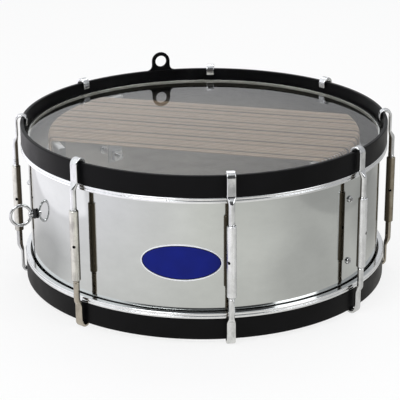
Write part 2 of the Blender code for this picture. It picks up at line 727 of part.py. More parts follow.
def main():
    for old in list(bpy.data.objects):
        bpy.data.objects.remove(old)
    scene = bpy.context.scene.collection
    parts = bpy.data.collections.new("drum")
    cutters = bpy.data.collections.new("cutters")
    scene.children.link(parts)
    scene.children.link(cutters)

    mirror_steel = material("shell_steel", (0.72, 0.73, 0.72), 0.08, 1.0)
    black = material("black_enamel", (0.012, 0.012, 0.014), 0.35, 0.0)
    chrome = material("chrome", (0.82, 0.83, 0.84), 0.10, 1.0)
    zinc = material("zinc_plate", (0.66, 0.68, 0.70), 0.30, 1.0)
    film = material("clear_film", (0.85, 0.86, 0.86), 0.08, 0.0)
    cord = material("snare_cord", (0.52, 0.46, 0.38), 0.60, 0.0)
    sheet = material("sheet_steel", (0.55, 0.56, 0.57), 0.35, 1.0)
    rubber = material("black_rubber", (0.02, 0.02, 0.02), 0.70, 0.0)

    make_shell(parts, cutters, mirror_steel)
    make_heads(parts, film)
    make_flesh_rings(parts, chrome)
    make_hoops(parts, black)
    make_turnbuckles(parts, cutters, zinc, chrome)
    make_eye(parts, black)
    make_cords(parts, cord)
    make_butt(parts, cutters, sheet, chrome)
    make_strainer(parts, cutters, sheet, chrome, rubber)


main()
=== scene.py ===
"""Shallow metal parade drum with clear heads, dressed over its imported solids."""

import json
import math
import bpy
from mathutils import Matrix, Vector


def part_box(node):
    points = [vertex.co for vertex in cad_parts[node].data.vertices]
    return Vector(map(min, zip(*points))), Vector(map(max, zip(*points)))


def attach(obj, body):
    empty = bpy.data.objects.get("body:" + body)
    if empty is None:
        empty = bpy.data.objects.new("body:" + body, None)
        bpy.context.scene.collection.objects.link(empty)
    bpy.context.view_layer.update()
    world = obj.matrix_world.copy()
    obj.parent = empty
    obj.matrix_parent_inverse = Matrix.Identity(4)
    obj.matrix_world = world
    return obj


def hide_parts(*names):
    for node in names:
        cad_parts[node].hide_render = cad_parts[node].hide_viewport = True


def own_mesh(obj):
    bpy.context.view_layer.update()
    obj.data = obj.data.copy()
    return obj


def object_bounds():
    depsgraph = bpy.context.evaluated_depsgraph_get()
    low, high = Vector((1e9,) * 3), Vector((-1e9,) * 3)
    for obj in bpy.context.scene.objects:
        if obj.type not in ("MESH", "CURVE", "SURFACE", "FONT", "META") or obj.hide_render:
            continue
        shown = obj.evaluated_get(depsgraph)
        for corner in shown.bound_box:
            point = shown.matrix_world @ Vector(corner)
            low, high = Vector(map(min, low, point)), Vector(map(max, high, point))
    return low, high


bl_info = {
    "name": "Parade drum",
    "version": (1, 0, 0),
    "blender": (4, 5, 0),
    "location": "3D View > Sidebar > Drum",
    "description": "Builds a parade snare drum with claw hooks, turnbuckle tubes and a cord snare",
    "category": "Object",
}

import bmesh
import bpy
from bpy.props import FloatProperty, FloatVectorProperty, IntProperty, PointerProperty
from mathutils import Matrix, Vector

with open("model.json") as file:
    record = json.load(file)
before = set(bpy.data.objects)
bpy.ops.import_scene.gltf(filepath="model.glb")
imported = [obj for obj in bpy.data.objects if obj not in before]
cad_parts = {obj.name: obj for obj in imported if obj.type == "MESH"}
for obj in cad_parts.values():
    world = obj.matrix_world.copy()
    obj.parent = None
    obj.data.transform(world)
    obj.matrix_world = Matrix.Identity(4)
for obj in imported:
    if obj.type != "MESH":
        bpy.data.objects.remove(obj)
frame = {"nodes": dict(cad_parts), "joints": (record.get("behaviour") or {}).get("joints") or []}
CAD_LOW, CAD_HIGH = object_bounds()

RODS = ("right", "back_right", "back", "back_left", "left", "front_left", "front", "front_right")


def joint_named(name):
    return next(joint for joint in frame["joints"] if joint["name"] == name)


def azimuth_of(place):
    return math.degrees(math.atan2(place[1], place[0]))


def plan_radius(place):
    return math.hypot(place[0], place[1])


# Places and sizes read from the frame
SHELL_LOW, SHELL_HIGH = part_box("shell")
HOOP_LOW, HOOP_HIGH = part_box("top_hoop")
RING_LOW, RING_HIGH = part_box("top_flesh_ring")
HOOP_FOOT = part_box("bottom_hoop")[0].z
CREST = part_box("top_head")[1].z
SHELL_R = SHELL_HIGH.x
HOOP_R = HOOP_HIGH.x
RING_R = RING_HIGH.x
HOOP_TOP = HOOP_HIGH.z
MIDDLE = (HOOP_TOP + HOOP_FOOT) / 2
ROD_R = plan_radius(joint_named("tube_front_turn")["pos_m"])
ROD_AZIMUTH = {rod: azimuth_of(joint_named(f"tube_{rod}_turn")["pos_m"]) for rod in RODS}
SNARE_AZIMUTH = azimuth_of(joint_named("strainer_slide")["axis"])
DRAW_AZIMUTH = {
    "front": azimuth_of(joint_named("ring_screw_front_turn")["pos_m"]),
    "middle": azimuth_of(joint_named("wing_screw_turn")["pos_m"]),
    "back": azimuth_of(joint_named("ring_screw_back_turn")["pos_m"]),
}

# Play between a part and the one that it seats on
FIT = 0.0003
# How far a hook's neck begins below the hoop's top edge, and the neck's length
NECK_DROP, NECK_L = 0.0178, 0.0085
# How far the strainer's screw heads stand off the shell, on their washers
HEAD_SEAT = 0.0034
# Flats round screws and washers
SMALL_STEPS = 32
# Painted shade on the side of hooks and tubes that faces the shell
PAINTED_SHADE_TONE = (0.085, 0.070, 0.050)


def length(label, default, description):
    return FloatProperty(name=label, description=description, default=default, min=0.0, unit="LENGTH",
                         precision=5)


def colour(label, default, description):
    return FloatVectorProperty(name=label, description=description, default=default, size=3, min=0.0,
                               max=1.0, subtype="COLOR")


class DrumSizes(bpy.types.PropertyGroup):
    """Sizes of the details that the solids leave plain"""
    steps: IntProperty(name="Steps round", description="Flats round the shell, hoops and rings",
                       default=320, min=64, max=720)
    shell_wall: length("Shell wall", 0.0012, "Thickness of the shell's steel")
    shell_edge: length("Shell edge", 0.0030, "How far the shell's edge is turned in")
    hoop_wall: length("Hoop wall", 0.0039, "Thickness of the flat hoops")
    hoop_edge: length("Hoop edge radius", 0.0009, "Rounding of the hoops' edges")
    film: length("Film", 0.0003, "Thickness of the heads")
    film_round: length("Film bend", 0.0016, "Radius of the bend where the head goes over the shell")
    strap_w: length("Strap width", 0.0084, "Width of a claw hook's strap")
    strap_t: length("Strap thickness", 0.0025, "Thickness of a claw hook's strap")
    strap_off: length("Strap gap", 0.0033, "Gap between a hook's strap and the hoop")
    claw_r: length("Claw radius", 0.0039, "Inner radius of the claw's arch")
    rod_d: length("Rod diameter", 0.0060, "Diameter of a hook's threaded rod")
    thread_pitch: length("Thread pitch", 0.0010, "Height of one turn of the rods' thread")
    tube_d: length("Tube diameter", 0.0090, "Outer diameter of a turnbuckle tube")
    tube_l: length("Tube length", 0.0712, "Length of a turnbuckle tube")
    bar_hole: length("Bar hole", 0.0032, "Diameter of the cross hole in a tube")
    cord_d: length("Cord diameter", 0.0018, "Diameter of the snare cord")
    cord_pitch: length("Cord pitch", 0.0044, "Distance from one run of the snare to the next")
    cord_bend: length("Cord bend", 0.0040, "Radius of the cords' bend over the bridges")
    snare_r: length("Snare radius", 0.1579, "Distance from the drum's axis to the cords' bends")
    badge_w: length("Badge width", 0.0778, "Width of the oval badge, along the shell")
    badge_h: length("Badge height", 0.0368, "Height of the oval badge")
    badge_rim: length("Badge rim", 0.0013, "Width of the badge's pale rim")


class DrumColours(bpy.types.PropertyGroup):
    """Colours of the drum's finishes"""
    shell: colour("Shell", (0.60, 0.62, 0.61), "Polished sheet of the shell")
    enamel: colour("Hoops", (0.0020, 0.0020, 0.0024), "Satin black of the hoops and the eye")
    plating: colour("Plating", (0.66, 0.67, 0.68), "Bright plating of hooks, rings and screws")
    zinc: colour("Tubes", (0.80, 0.79, 0.73), "Dull plating of the tubes")
    pale: colour("Front tubes", (0.92, 0.93, 0.95), "Dull plating of the tubes in front")
    aged: colour("Aged tube", (0.42, 0.38, 0.30), "Dull plating of an older tube")
    cord: colour("Snare", (0.275, 0.207, 0.146), "Snare cord")
    sheet: colour("Bridges", (0.50, 0.51, 0.52), "Folded sheet of the bridges and brackets")
    badge: colour("Badge", (0.002, 0.009, 0.180), "Face of the oval badge")
    rim: colour("Badge rim", (0.88, 0.89, 0.94), "Rim of the oval badge")
    floor: colour("Floor", (0.90, 0.90, 0.90), "Floor of the stage")


def sizes():
    return bpy.context.scene.drum_sizes


def colours():
    return bpy.context.scene.drum_colours


# Nodes

def feed(tree, socket, value):
    """Links a socket to another node's output, or sets it to a plain value."""
    if isinstance(value, bpy.types.NodeSocket):
        tree.links.new(value, socket)
    else:
        socket.default_value = value


def feed_inputs(tree, node, **inputs):
    """Feeds a node's inputs by name. A space in a name is written as an underscore."""
    for label, value in inputs.items():
        feed(tree, node.inputs[label.replace("_", " ")], value)


def add_node(tree, kind, **inputs):
    """A new node with its inputs fed."""
    made = tree.nodes.new(kind)
    feed_inputs(tree, made, **inputs)
    return made


def worked_out(tree, kind, operation, *values):
    """The outputs of an arithmetic node."""
    made = tree.nodes.new(kind)
    made.operation = operation
    for socket, value in zip(made.inputs, values):
        feed(tree, socket, value)
    return made.outputs


def sums(tree, operation, first, second=0.0):
    """The number that an operation makes of two numbers, or of the first alone."""
    return worked_out(tree, "ShaderNodeMath", operation, first, second)[0]


def mapped(tree, source, from_low, from_high, low, high):
    """A number that goes from low to high as the source goes through its own range."""
    return add_node(tree, "ShaderNodeMapRange", Value=source, From_Min=from_low, From_Max=from_high,
                    To_Min=low, To_Max=high).outputs["Result"]


def between(tree, source, low, high):
    """A number that goes from low to high through the middle of a noise."""
    return mapped(tree, source, 0.3, 0.7, low, high)


def blend(tree, share, first, second):
    """The first colour where the share is 0 and the second where it is 1."""
    made = tree.nodes.new("ShaderNodeMix")
    made.data_type = "RGBA"
    for socket, value in ((made.inputs[0], share), (made.inputs[6], first), (made.inputs[7], second)):
        feed(tree, socket, (*value, 1.0) if isinstance(value, tuple) else value)
    return made.outputs[2]


def axes(tree, vector, names="XYZ"):
    """The named parts of a vector."""
    parts = add_node(tree, "ShaderNodeSeparateXYZ", Vector=vector).outputs
    return [parts[name] for name in names]


def pattern_space(tree, scale=(1.0, 1.0, 1.0), turn=(0.0, 0.0, 0.0)):
    """The piece's own coordinates, turned and scaled for a pattern."""
    where = tree.nodes.new("ShaderNodeTexCoord")
    return add_node(tree, "ShaderNodeMapping", Vector=where.outputs["Object"], Scale=scale,
                    Rotation=turn).outputs["Vector"]


def noise(tree, space, scale, detail=3.0, roughness=0.5):
    """A number that wanders between 0 and 1, mostly from 0.3 to 0.7."""
    return add_node(tree, "ShaderNodeTexNoise", Vector=space, Scale=scale, Detail=detail,
                    Roughness=roughness).outputs["Fac"]


def streaked(tree, stretch, scale, detail=4.0):
    """Grain that is drawn out along Z, or across it where the stretch is over 1."""
    return noise(tree, pattern_space(tree, (1.0, 1.0, stretch)), scale, detail, 0.6)


def ramp(tree, source, low, high, first, last):
    """Colours from first to last as the source goes from low to high."""
    made = add_node(tree, "ShaderNodeValToRGB", Fac=source)
    for stop, place, tone in zip(made.color_ramp.elements, (low, high), (first, last)):
        stop.position = place
        stop.color = (*tone, 1.0)
    return made.outputs["Color"]


def shade_of(base, factor):
    """A colour made darker or brighter by a factor."""
    return tuple(min(1.0, part * factor) for part in base)


def shaded(tree, source, base, dark, bright, low=0.3, high=0.7):
    """A colour times one factor where the source is low, and times the other where it is high."""
    return ramp(tree, source, low, high, shade_of(base, dark), shade_of(base, bright))


def bump(tree, shader, source, strength, distance):
    """Small relief on a shader."""
    raised = add_node(tree, "ShaderNodeBump", Strength=strength, Distance=distance, Height=source)
    feed_inputs(tree, shader, Normal=raised.outputs["Normal"])


def mix_surface(tree, share, first, second):
    """Ends a material in the first shader where the share is 0 and the second where it is 1."""
    mix = tree.nodes.new("ShaderNodeMixShader")
    for socket, source in zip(mix.inputs, (share, first.outputs[0], second.outputs[0])):
        feed(tree, socket, source)
    feed_inputs(tree, tree.nodes["Material Output"], Surface=mix.outputs[0])


# Finishes

def new_finish(name):
    """A new material with its shader and its node tree."""
    made = bpy.data.materials.new(name)
    made.use_nodes = True
    return made, made.node_tree.nodes["Principled BSDF"], made.node_tree


def sheltered(tree):
    """One on the side of a hook or tube that faces the shell, where shade is painted."""
    s = sizes()
    x, y, z = axes(tree, pattern_space(tree))
    squares = sums(tree, "ADD", sums(tree, "MULTIPLY", x, x), sums(tree, "MULTIPLY", y, y))
    radius = sums(tree, "POWER", squares, 0.5)
    level = sums(tree, "ABSOLUTE", sums(tree, "SUBTRACT", z, MIDDLE))
    crown, wall = HOOP_TOP - MIDDLE, HOOP_R - s.hoop_wall
    neck_top = crown - NECK_DROP
    margin, claw_h, soft = 0.0006, 0.0030, 0.0008
    # The side's edge runs up the rod's axis and the strap's back, and in beyond the shell at the claw
    edge = mapped(tree, level, neck_top - NECK_L, neck_top, ROD_R, HOOP_R + s.strap_off + margin)
    edge = mapped(tree, level, crown - claw_h, crown, edge, SHELL_R - 0.01)
    beside = mapped(tree, sums(tree, "SUBTRACT", edge, radius), -soft, soft, 0.0, 1.0)
    outside = mapped(tree, radius, wall - 0.0003, wall + 0.0005, 0.0, 1.0)
    return sums(tree, "MULTIPLY", beside, outside)


def polished_sheet(name):
    """Rolled sheet, mirror polished, with cloudy polishing marks."""
    made, shader, tree = new_finish(name)
    base = colours().shell
    clouds = noise(tree, pattern_space(tree, (1.0, 1.0, 1.6)), 26.0, 5.0, 0.62)
    streaks = streaked(tree, 6.0, 60.0)
    feed_inputs(tree, shader, Metallic=1.0, Roughness=between(tree, streaks, 0.035, 0.075),
                Base_Color=shaded(tree, clouds, base, 0.965, 1.03, 0.36, 0.66))
    bump(tree, shader, noise(tree, pattern_space(tree), 9.0, 1.0, 0.4), 0.20, 0.0012)
    return made


def inner_sheet(name):
    """The shell's unpolished inner face, with painted light at the left and painted shade at the right and
    under the head.
    """
    made, shader, tree = new_finish(name)
    grain = streaked(tree, 4.0, 40.0)
    grey = ramp(tree, grain, 0.3, 0.7, (0.275, 0.262, 0.247), (0.355, 0.338, 0.320))
    x, z = axes(tree, pattern_space(tree), "XZ")
    # Painted light on the left, and painted shade on the right and under the head
    for axis, start, stop, low, high, tone in (
            (x, -0.165, -0.08, 0.8, 0.0, (0.88, 0.85, 0.81)),
            (x, -0.02, 0.17, 0.0, 0.85, (0.07, 0.066, 0.062)),
            (z, CREST - 0.034, CREST - 0.012, 0.0, 1.0, (0.020, 0.020, 0.018)),
            (z, CREST - 0.0090, CREST - 0.0082, 0.0, 1.0, (0.06, 0.06, 0.05))):
        grey = blend(tree, mapped(tree, axis, start, stop, low, high), grey, tone)
    feed_inputs(tree, shader, Base_Color=grey, Roughness=0.38, Metallic=1.0)
    return made


def hem_sheet(name):
    """The inner side of the shell's turned-in edges, bare and brushed."""
    made, shader, tree = new_finish(name)
    grain = streaked(tree, 6.0, 70.0, 3.0)
    feed_inputs(tree, shader, Roughness=0.45, Metallic=0.35,
                Base_Color=ramp(tree, grain, 0.3, 0.7, (0.34, 0.34, 0.31), (0.50, 0.50, 0.47)))
    return made


def satin_enamel(name):
    """Powder-coated black with a fine skin."""
    made, shader, tree = new_finish(name)
    base = colours().enamel
    space = pattern_space(tree)
    patches = noise(tree, space, 35.0)
    feed_inputs(tree, shader, Base_Color=shaded(tree, patches, base, 1.0, 1.7, 0.35, 0.65),
                Roughness=between(tree, patches, 0.34, 0.46), Specular_IOR_Level=0.11)
    bump(tree, shader, noise(tree, space, 1400.0, 2.0), 0.18, 0.0002)
    return made


def bright_plating(name, base, dull, with_painted_shade=False, worn=0.74, grain=0.12):
    """Chrome or nickel with light wear, duller in patches, and with painted shade on a hook's side that
    faces the shell.
    """
    made, shader, tree = new_finish(name)
    space = pattern_space(tree, (1.0, 1.0, 0.5))
    wear = noise(tree, space, 180.0, 4.0, 0.6)
    skin = shaded(tree, wear, base, worn, 1.0, 0.32, 0.58)
    if with_painted_shade:
        # Painted shade on the side that faces the shell
        skin = blend(tree, sheltered(tree), skin, PAINTED_SHADE_TONE)
    feed_inputs(tree, shader, Base_Color=skin, Metallic=1.0,
                Roughness=between(tree, wear, dull + 0.07, dull))
    bump(tree, shader, noise(tree, space, 700.0, 2.0), grain, 0.0003)
    return made


def dull_zinc(name, base, stain):
    """Zinc plating of a tube, with streaks along it and stains, and painted shade on its side that faces the
    shell.
    """
    made, shader, tree = new_finish(name)
    streaks = streaked(tree, 0.08, 420.0)
    spots = streaked(tree, 1.0, 95.0, 3.0)
    skin = ramp(tree, sums(tree, "MULTIPLY", streaks, spots), 0.14, 0.32, stain, base)
    # Painted shade on the side that faces the shell
    feed_inputs(tree, shader, Base_Color=blend(tree, sheltered(tree), skin, PAINTED_SHADE_TONE),
                Roughness=between(tree, streaks, 0.38, 0.24), Metallic=1.0)
    bump(tree, shader, streaks, 0.15, 0.0003)
    return made


def clear_film(name, tint, haze):
    """Clear polyester film, which lets the lamps' light through."""
    made, shader, tree = new_finish(name)
    feed_inputs(tree, shader, Base_Color=(*tint, 1.0), Roughness=haze, Transmission_Weight=1.0, IOR=1.25)
    path = tree.nodes.new("ShaderNodeLightPath")
    through = add_node(tree, "ShaderNodeBsdfTransparent", Color=(*shade_of(tint, 0.94), 1.0))
    mix_surface(tree, path.outputs["Is Shadow Ray"], shader, through)
    return made


def twisted_cord(name):
    """Snare cord: two strands, twisted, with some runs a darker brown, scattered among the rest."""
    made, shader, tree = new_finish(name)
    base = colours().cord
    space = pattern_space(tree, turn=(0.0, 0.0, -math.radians(SNARE_AZIMUTH)))
    patches = noise(tree, space, 60.0, 3.0, 0.6)
    skin = shaded(tree, patches, base, 0.88, 1.04)
    y = axes(tree, space, "Y")[0]
    run = sums(tree, "FLOOR", sums(tree, "DIVIDE", y, sizes().cord_pitch))
    # Multiples of this share scatter the brown runs, and no two of them lie side by side
    scattered = sums(tree, "FRACT", sums(tree, "MULTIPLY", run, 0.618))
    drift = mapped(tree, noise(tree, space, 9.0, 2.0), 0.0, 1.0, 0.0, 0.3)
    brown = mapped(tree, sums(tree, "ADD", scattered, drift), 0.17, 0.52, 0.90, 0.0)
    feed_inputs(tree, shader, Base_Color=blend(tree, brown, skin, shade_of(base, 0.16)), Roughness=0.62)
    twist = add_node(tree, "ShaderNodeTexWave", Vector=space, Scale=330.0, Distortion=0.4)
    twist.bands_direction = "DIAGONAL"
    bump(tree, shader, twist.outputs["Fac"], 0.5, 0.0003)
    return made


def folded_sheet(name):
    """Plain bent steel of the bridges and brackets."""
    made, shader, tree = new_finish(name)
    base = colours().sheet
    grain = streaked(tree, 5.0, 90.0)
    feed_inputs(tree, shader, Roughness=between(tree, grain, 0.28, 0.42), Metallic=1.0,
                Base_Color=shaded(tree, grain, base, 0.8, 1.1))
    return made


def soft_rubber(name):
    """Black rubber with a fine grain."""
    made, shader, tree = new_finish(name)
    specks = noise(tree, pattern_space(tree), 900.0, 2.0)
    feed_inputs(tree, shader, Roughness=0.72,
                Base_Color=ramp(tree, specks, 0.3, 0.7, (0.010, 0.010, 0.010), (0.022, 0.022, 0.022)))
    bump(tree, shader, specks, 0.3, 0.0003)
    return made


def badge_enamel(name, base, rough):
    """Printed and lacquered face of the badge."""
    made, shader, tree = new_finish(name)
    cloud = noise(tree, pattern_space(tree), 70.0)
    feed_inputs(tree, shader, Roughness=rough, Specular_IOR_Level=0.15,
                Base_Color=shaded(tree, cloud, base, 0.9, 1.1))
    return made


def look(name):
    """The finish of that name, made on its first use."""
    c = colours()
    make, *values = {
        "polished_sheet": (polished_sheet,),
        "inner_sheet": (inner_sheet,),
        "hem_sheet": (hem_sheet,),
        "satin_enamel": (satin_enamel,),
        "bright_plating": (bright_plating, c.plating, 0.07),
        "hook_plating": (bright_plating, shade_of(c.plating, 1.25), 0.07, True),
        "worn_plating": (bright_plating, (0.50, 0.46, 0.39), 0.16, True),
        "ring_plating": (bright_plating, shade_of(c.plating, 1.36), 0.12, False, 0.92, 0.03),
        "dull_zinc": (dull_zinc, c.zinc, (0.50, 0.49, 0.46)),
        "pale_zinc": (dull_zinc, c.pale, (0.70, 0.71, 0.72)),
        "aged_zinc": (dull_zinc, c.aged, (0.27, 0.23, 0.17)),
        "upper_film": (clear_film, (0.97, 0.97, 0.96), 0.0),
        "lower_film": (clear_film, (0.80, 0.80, 0.79), 0.05),
        "twisted_cord": (twisted_cord,),
        "folded_sheet": (folded_sheet,),
        "soft_rubber": (soft_rubber,),
        "badge_face": (badge_enamel, c.badge, 0.28),
        "badge_border": (badge_enamel, shade_of(c.badge, 0.25), 0.28),
        "badge_rim": (badge_enamel, c.rim, 0.25),
        "floor_paint": (floor_paint, c.floor, 0.80),
    }[name]
    return bpy.data.materials.get(name) or make(name, *values)


# Shapes

def arc(centre, radii, first, sweep, steps):
    """Points (x, y) along part of an ellipse, with both of its ends."""
    turns = [first + sweep * i / steps for i in range(steps + 1)]
    return [(centre[0] + radii[0] * math.cos(a), centre[1] + radii[1] * math.sin(a)) for a in turns]


def rounded(corners, steps=4):
    """A closed outline through corners (x, y, radius), each rounded off by its radius.

    A point just beyond each end of an arc keeps the straight sides flat in their shading.
    """
    count = len(corners)
    turns = []
    for i, (x, y, radius) in enumerate(corners):
        corner = Vector((x, y))
        back = Vector(corners[i - 1][:2]) - corner
        on = Vector(corners[(i + 1) % count][:2]) - corner
        half = back.angle(on) / 2
        cut = radius / math.tan(half) if radius > 0.0 else 0.0
        turns.append((corner, back, on, half, cut))
    outline = []
    for i, (corner, back, on, half, cut) in enumerate(turns):
        radius = corners[i][2]
        if radius <= 0.0:
            outline.append(tuple(corner))
            continue
        before = min(0.2 * radius, 0.3 * max(back.length - cut - turns[i - 1][4], 0.0))
        after = min(0.2 * radius, 0.3 * max(on.length - cut - turns[(i + 1) % count][4], 0.0))
        back, on = back.normalized(), on.normalized()
        centre = corner + (back + on).normalized() * (radius / math.sin(half))
        start = corner + back * cut - centre
        stop = corner + on * cut - centre
        first = math.atan2(start.y, start.x)
        sweep = (math.atan2(stop.y, stop.x) - first + math.pi) % math.tau - math.pi
        outline.append(tuple(corner + back * (cut + before)))
        outline += arc(centre, (radius, radius), first, sweep, steps)
        outline.append(tuple(corner + on * (cut + after)))
    return outline


def add_skin(bm, rings, loop):
    """Faces between rings of vertices. A ring of one vertex is a pole."""
    pairs = list(zip(rings, rings[1:]))
    if loop:
        pairs.append((rings[-1], rings[0]))
    for first, second in pairs:
        count = max(len(first), len(second))
        for k in range(count):
            n = (k + 1) % count
            if len(first) == 1 and len(second) == 1:
                continue
            if len(first) == 1:
                bm.faces.new((first[0], second[n], second[k]))
            elif len(second) == 1:
                bm.faces.new((first[k], first[n], second[0]))
            else:
                bm.faces.new((first[k], first[n], second[n], second[k]))


def lathe(bm, profile, steps, place=None):
    """A closed profile of (radius, height) points turned round Z, or round its place's Z."""
    matrix = place or Matrix.Identity(4)
    turns = [math.tau * k / steps for k in range(steps)]
    rings = []
    for radius, height in profile:
        around = turns if radius else [0.0]
        rings.append([bm.verts.new(matrix @ Vector(on_wall(a, radius, height))) for a in around])
    add_skin(bm, rings, True)


def smooth(mesh, sharp=35.0):
    """Shades a mesh smooth, apart from edges sharper than an angle in degrees."""
    mesh.shade_smooth()
    mesh.set_sharp_from_angle(angle=math.radians(sharp))
    return mesh


def mesh_of(bm, name, sharp=35.0):
    """The finished mesh of a bmesh, which is freed."""
    bmesh.ops.remove_doubles(bm, verts=bm.verts, dist=1e-7)
    bmesh.ops.recalc_face_normals(bm, faces=bm.faces)
    mesh = bpy.data.meshes.new(name)
    bm.to_mesh(mesh)
    bm.free()
    return smooth(mesh, sharp)


def new_piece(name, mesh, *finishes):
    """An object for a mesh whose place is in its vertices, with its finishes by their names."""
    made = bpy.data.objects.new(name, mesh)
    bpy.context.scene.collection.objects.link(made)
    for finish in finishes:
        mesh.materials.append(look(finish))
    return made


def settle(piece, body, slot_name, *nodes):
    """Puts a finished piece on its body, in the place of the nodes that it stands for."""
    if nodes:
        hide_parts(*nodes)
    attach(piece, body)
    return piece


def flattened(source, name):
    """The evaluated shape of an object as a plain mesh. The object is removed."""
    bpy.context.view_layer.update()
    mesh = bpy.data.meshes.new_from_object(source.evaluated_get(bpy.context.evaluated_depsgraph_get()))
    mesh.name = name
    bpy.data.objects.remove(source)
    return mesh


def outwards(azimuth, radius, height):
    """A frame on the drum: X along the radius, Y round the drum, Z up."""
    return Matrix.Rotation(math.radians(azimuth), 4, "Z") @ Matrix.Translation((radius, 0.0, height))


def on_wall(azimuth, radius, height):
    """A point from its angle round the Z axis in radians, its distance from it and its height."""
    return radius * math.cos(azimuth), radius * math.sin(azimuth), height


def along_radius(azimuth, radius, height):
    """A frame on the drum whose Z points outwards and whose X points up."""
    turned = Matrix.Rotation(math.radians(90.0), 4, "Y") @ Matrix.Rotation(math.radians(180.0), 4, "Z")
    return outwards(azimuth, radius, height) @ turned


def cut_with(mesh, cutter_bm, name):
    """A mesh with the cutter's shape taken out of it."""
    target = new_piece(name, mesh)
    tool = new_piece(name + "_tool", mesh_of(cutter_bm, name + "_tool"))
    cut = target.modifiers.new("cut", "BOOLEAN")
    cut.operation = "DIFFERENCE"
    cut.solver = "EXACT"
    cut.object = tool
    made = flattened(target, name)
    bpy.data.objects.remove(tool)
    return made


# Node trees for what repeats

def made_once(make):
    """A node tree that is built on its first use and found again by its name."""
    def found():
        return bpy.data.node_groups.get(make.__name__) or make(make.__name__)
    return found


def new_tree(name, *inputs):
    """A geometry tree with inputs (label, kind, value) for its sizes, and one for its finish."""
    tree = bpy.data.node_groups.new(name, "GeometryNodeTree")
    for label, kind, value in (("Geometry", "Geometry", None), *inputs, ("Finish", "Material", None)):
        socket = tree.interface.new_socket(label, in_out="INPUT", socket_type="NodeSocket" + kind)
        if value is not None:
            socket.default_value = value
    tree.interface.new_socket("Geometry", in_out="OUTPUT", socket_type="NodeSocketGeometry")
    return tree, tree.nodes.new("NodeGroupInput").outputs


def finish_tree(tree, shape, given):
    """Ends a tree in real faces with their finish."""
    real = add_node(tree, "GeometryNodeRealizeInstances", Geometry=shape)
    dressed = add_node(tree, "GeometryNodeSetMaterial", Geometry=real.outputs[0], Material=given["Finish"])
    feed(tree, tree.nodes.new("NodeGroupOutput").inputs[0], dressed.outputs[0])
    return tree


def swept(tree, path, section):
    """A section drawn along a path, with closed ends."""
    return add_node(tree, "GeometryNodeCurveToMesh", Curve=path.outputs[0], Profile_Curve=section.outputs[0],
                    Fill_Caps=True).outputs[0]


@made_once
def rod_place(name):
    """Stands a pattern on the circle of the rods."""
    tree, given = new_tree(name, ("Pattern", "Object", None), ("Radius", "Float", 0.19),
                           ("Height", "Float", 0.08), ("Azimuth", "Float", 0.0), ("Spin", "Float", 0.0))
    shape = add_node(tree, "GeometryNodeObjectInfo", Object=given["Pattern"]).outputs["Geometry"]
    for label, parts in (("Rotation", {"Z": given["Spin"]}),
                         ("Translation", {"X": given["Radius"], "Z": given["Height"]}),
                         ("Rotation", {"Z": given["Azimuth"]})):
        amount = add_node(tree, "ShaderNodeCombineXYZ", **parts).outputs[0]
        moved = add_node(tree, "GeometryNodeTransform", **{"Geometry": shape, label: amount})
        shape = moved.outputs["Geometry"]
    return finish_tree(tree, shape, given)


@made_once
def thread_ridge(name):
    """A ridge that climbs round the Z axis, for a thread."""
    tree, given = new_tree(name, ("Radius", "Float", 0.003), ("Pitch", "Float", 0.001),
                           ("Turns", "Float", 12.0), ("Ridge", "Float", 0.0003))
    spiral = add_node(tree, "GeometryNodeCurveSpiral", Resolution=20, Rotations=given["Turns"],
                      Start_Radius=given["Radius"], End_Radius=given["Radius"],
                      Height=sums(tree, "MULTIPLY", given["Turns"], given["Pitch"]))
    ridge = add_node(tree, "GeometryNodeCurvePrimitiveCircle", Resolution=4, Radius=given["Ridge"])
    return finish_tree(tree, swept(tree, spiral, ridge), given)


@made_once
def screws_outwards(name):
    """Sets a pattern on each point, facing out from the drum's axis."""
    tree, given = new_tree(name, ("Pattern", "Object", None))
    pattern = add_node(tree, "GeometryNodeObjectInfo", Object=given["Pattern"])
    place = tree.nodes.new("GeometryNodeInputPosition").outputs[0]
    level = worked_out(tree, "ShaderNodeVectorMath", "MULTIPLY", place, (1.0, 1.0, 0.0))[0]
    face = add_node(tree, "FunctionNodeAlignRotationToVector", Vector=level)
    face.axis = "Z"
    put = add_node(tree, "GeometryNodeInstanceOnPoints", Points=given["Geometry"],
                   Instance=pattern.outputs["Geometry"], Rotation=face.outputs[0])
    return finish_tree(tree, put.outputs[0], given)


@made_once
def laced_cord(name):
    """A round cord along the edges of a path."""
    tree, given = new_tree(name, ("Radius", "Float", 0.0009), ("Sides", "Int", 8))
    path = add_node(tree, "GeometryNodeMeshToCurve", Mesh=given["Geometry"])
    section = add_node(tree, "GeometryNodeCurvePrimitiveCircle", Resolution=given["Sides"],
                       Radius=given["Radius"])
    return finish_tree(tree, swept(tree, path, section), given)


def grown(name, tree, finish, mesh=None, **values):
    """The plain mesh that a node tree makes, from a mesh or from nothing, with a finish."""
    source = new_piece(name, mesh or bpy.data.meshes.new(name + "_start"))
    modifier = source.modifiers.new("grow", "NODES")
    modifier.node_group = tree
    sockets = {item.name: item.identifier for item in tree.interface.items_tree if item.in_out == "INPUT"}
    for label, value in (*values.items(), ("Finish", look(finish))):
        modifier[sockets[label]] = value
    return smooth(flattened(source, name))


def add_mesh(bm, mesh, matrix=None):
    """Adds a mesh's faces to a bmesh."""
    copy = mesh.copy()
    if matrix is not None:
        copy.transform(matrix)
    bm.from_mesh(copy)
    bpy.data.meshes.remove(copy)


# Pieces

def turned_pair(profile, slot_name, *pieces):
    """A profile turned round the drum at its top, and the same upside down at its foot.

    Each of the two pieces is (name, node that it stands for, finish), the upper one first.
    """
    mirrored = [(radius, 2 * MIDDLE - height) for radius, height in profile]
    for outline, (name, node, finish) in zip((profile, mirrored), pieces):
        bm = bmesh.new()
        lathe(bm, outline, sizes().steps)
        settle(new_piece(name, mesh_of(bm, name), finish), "drum_body", slot_name, node)


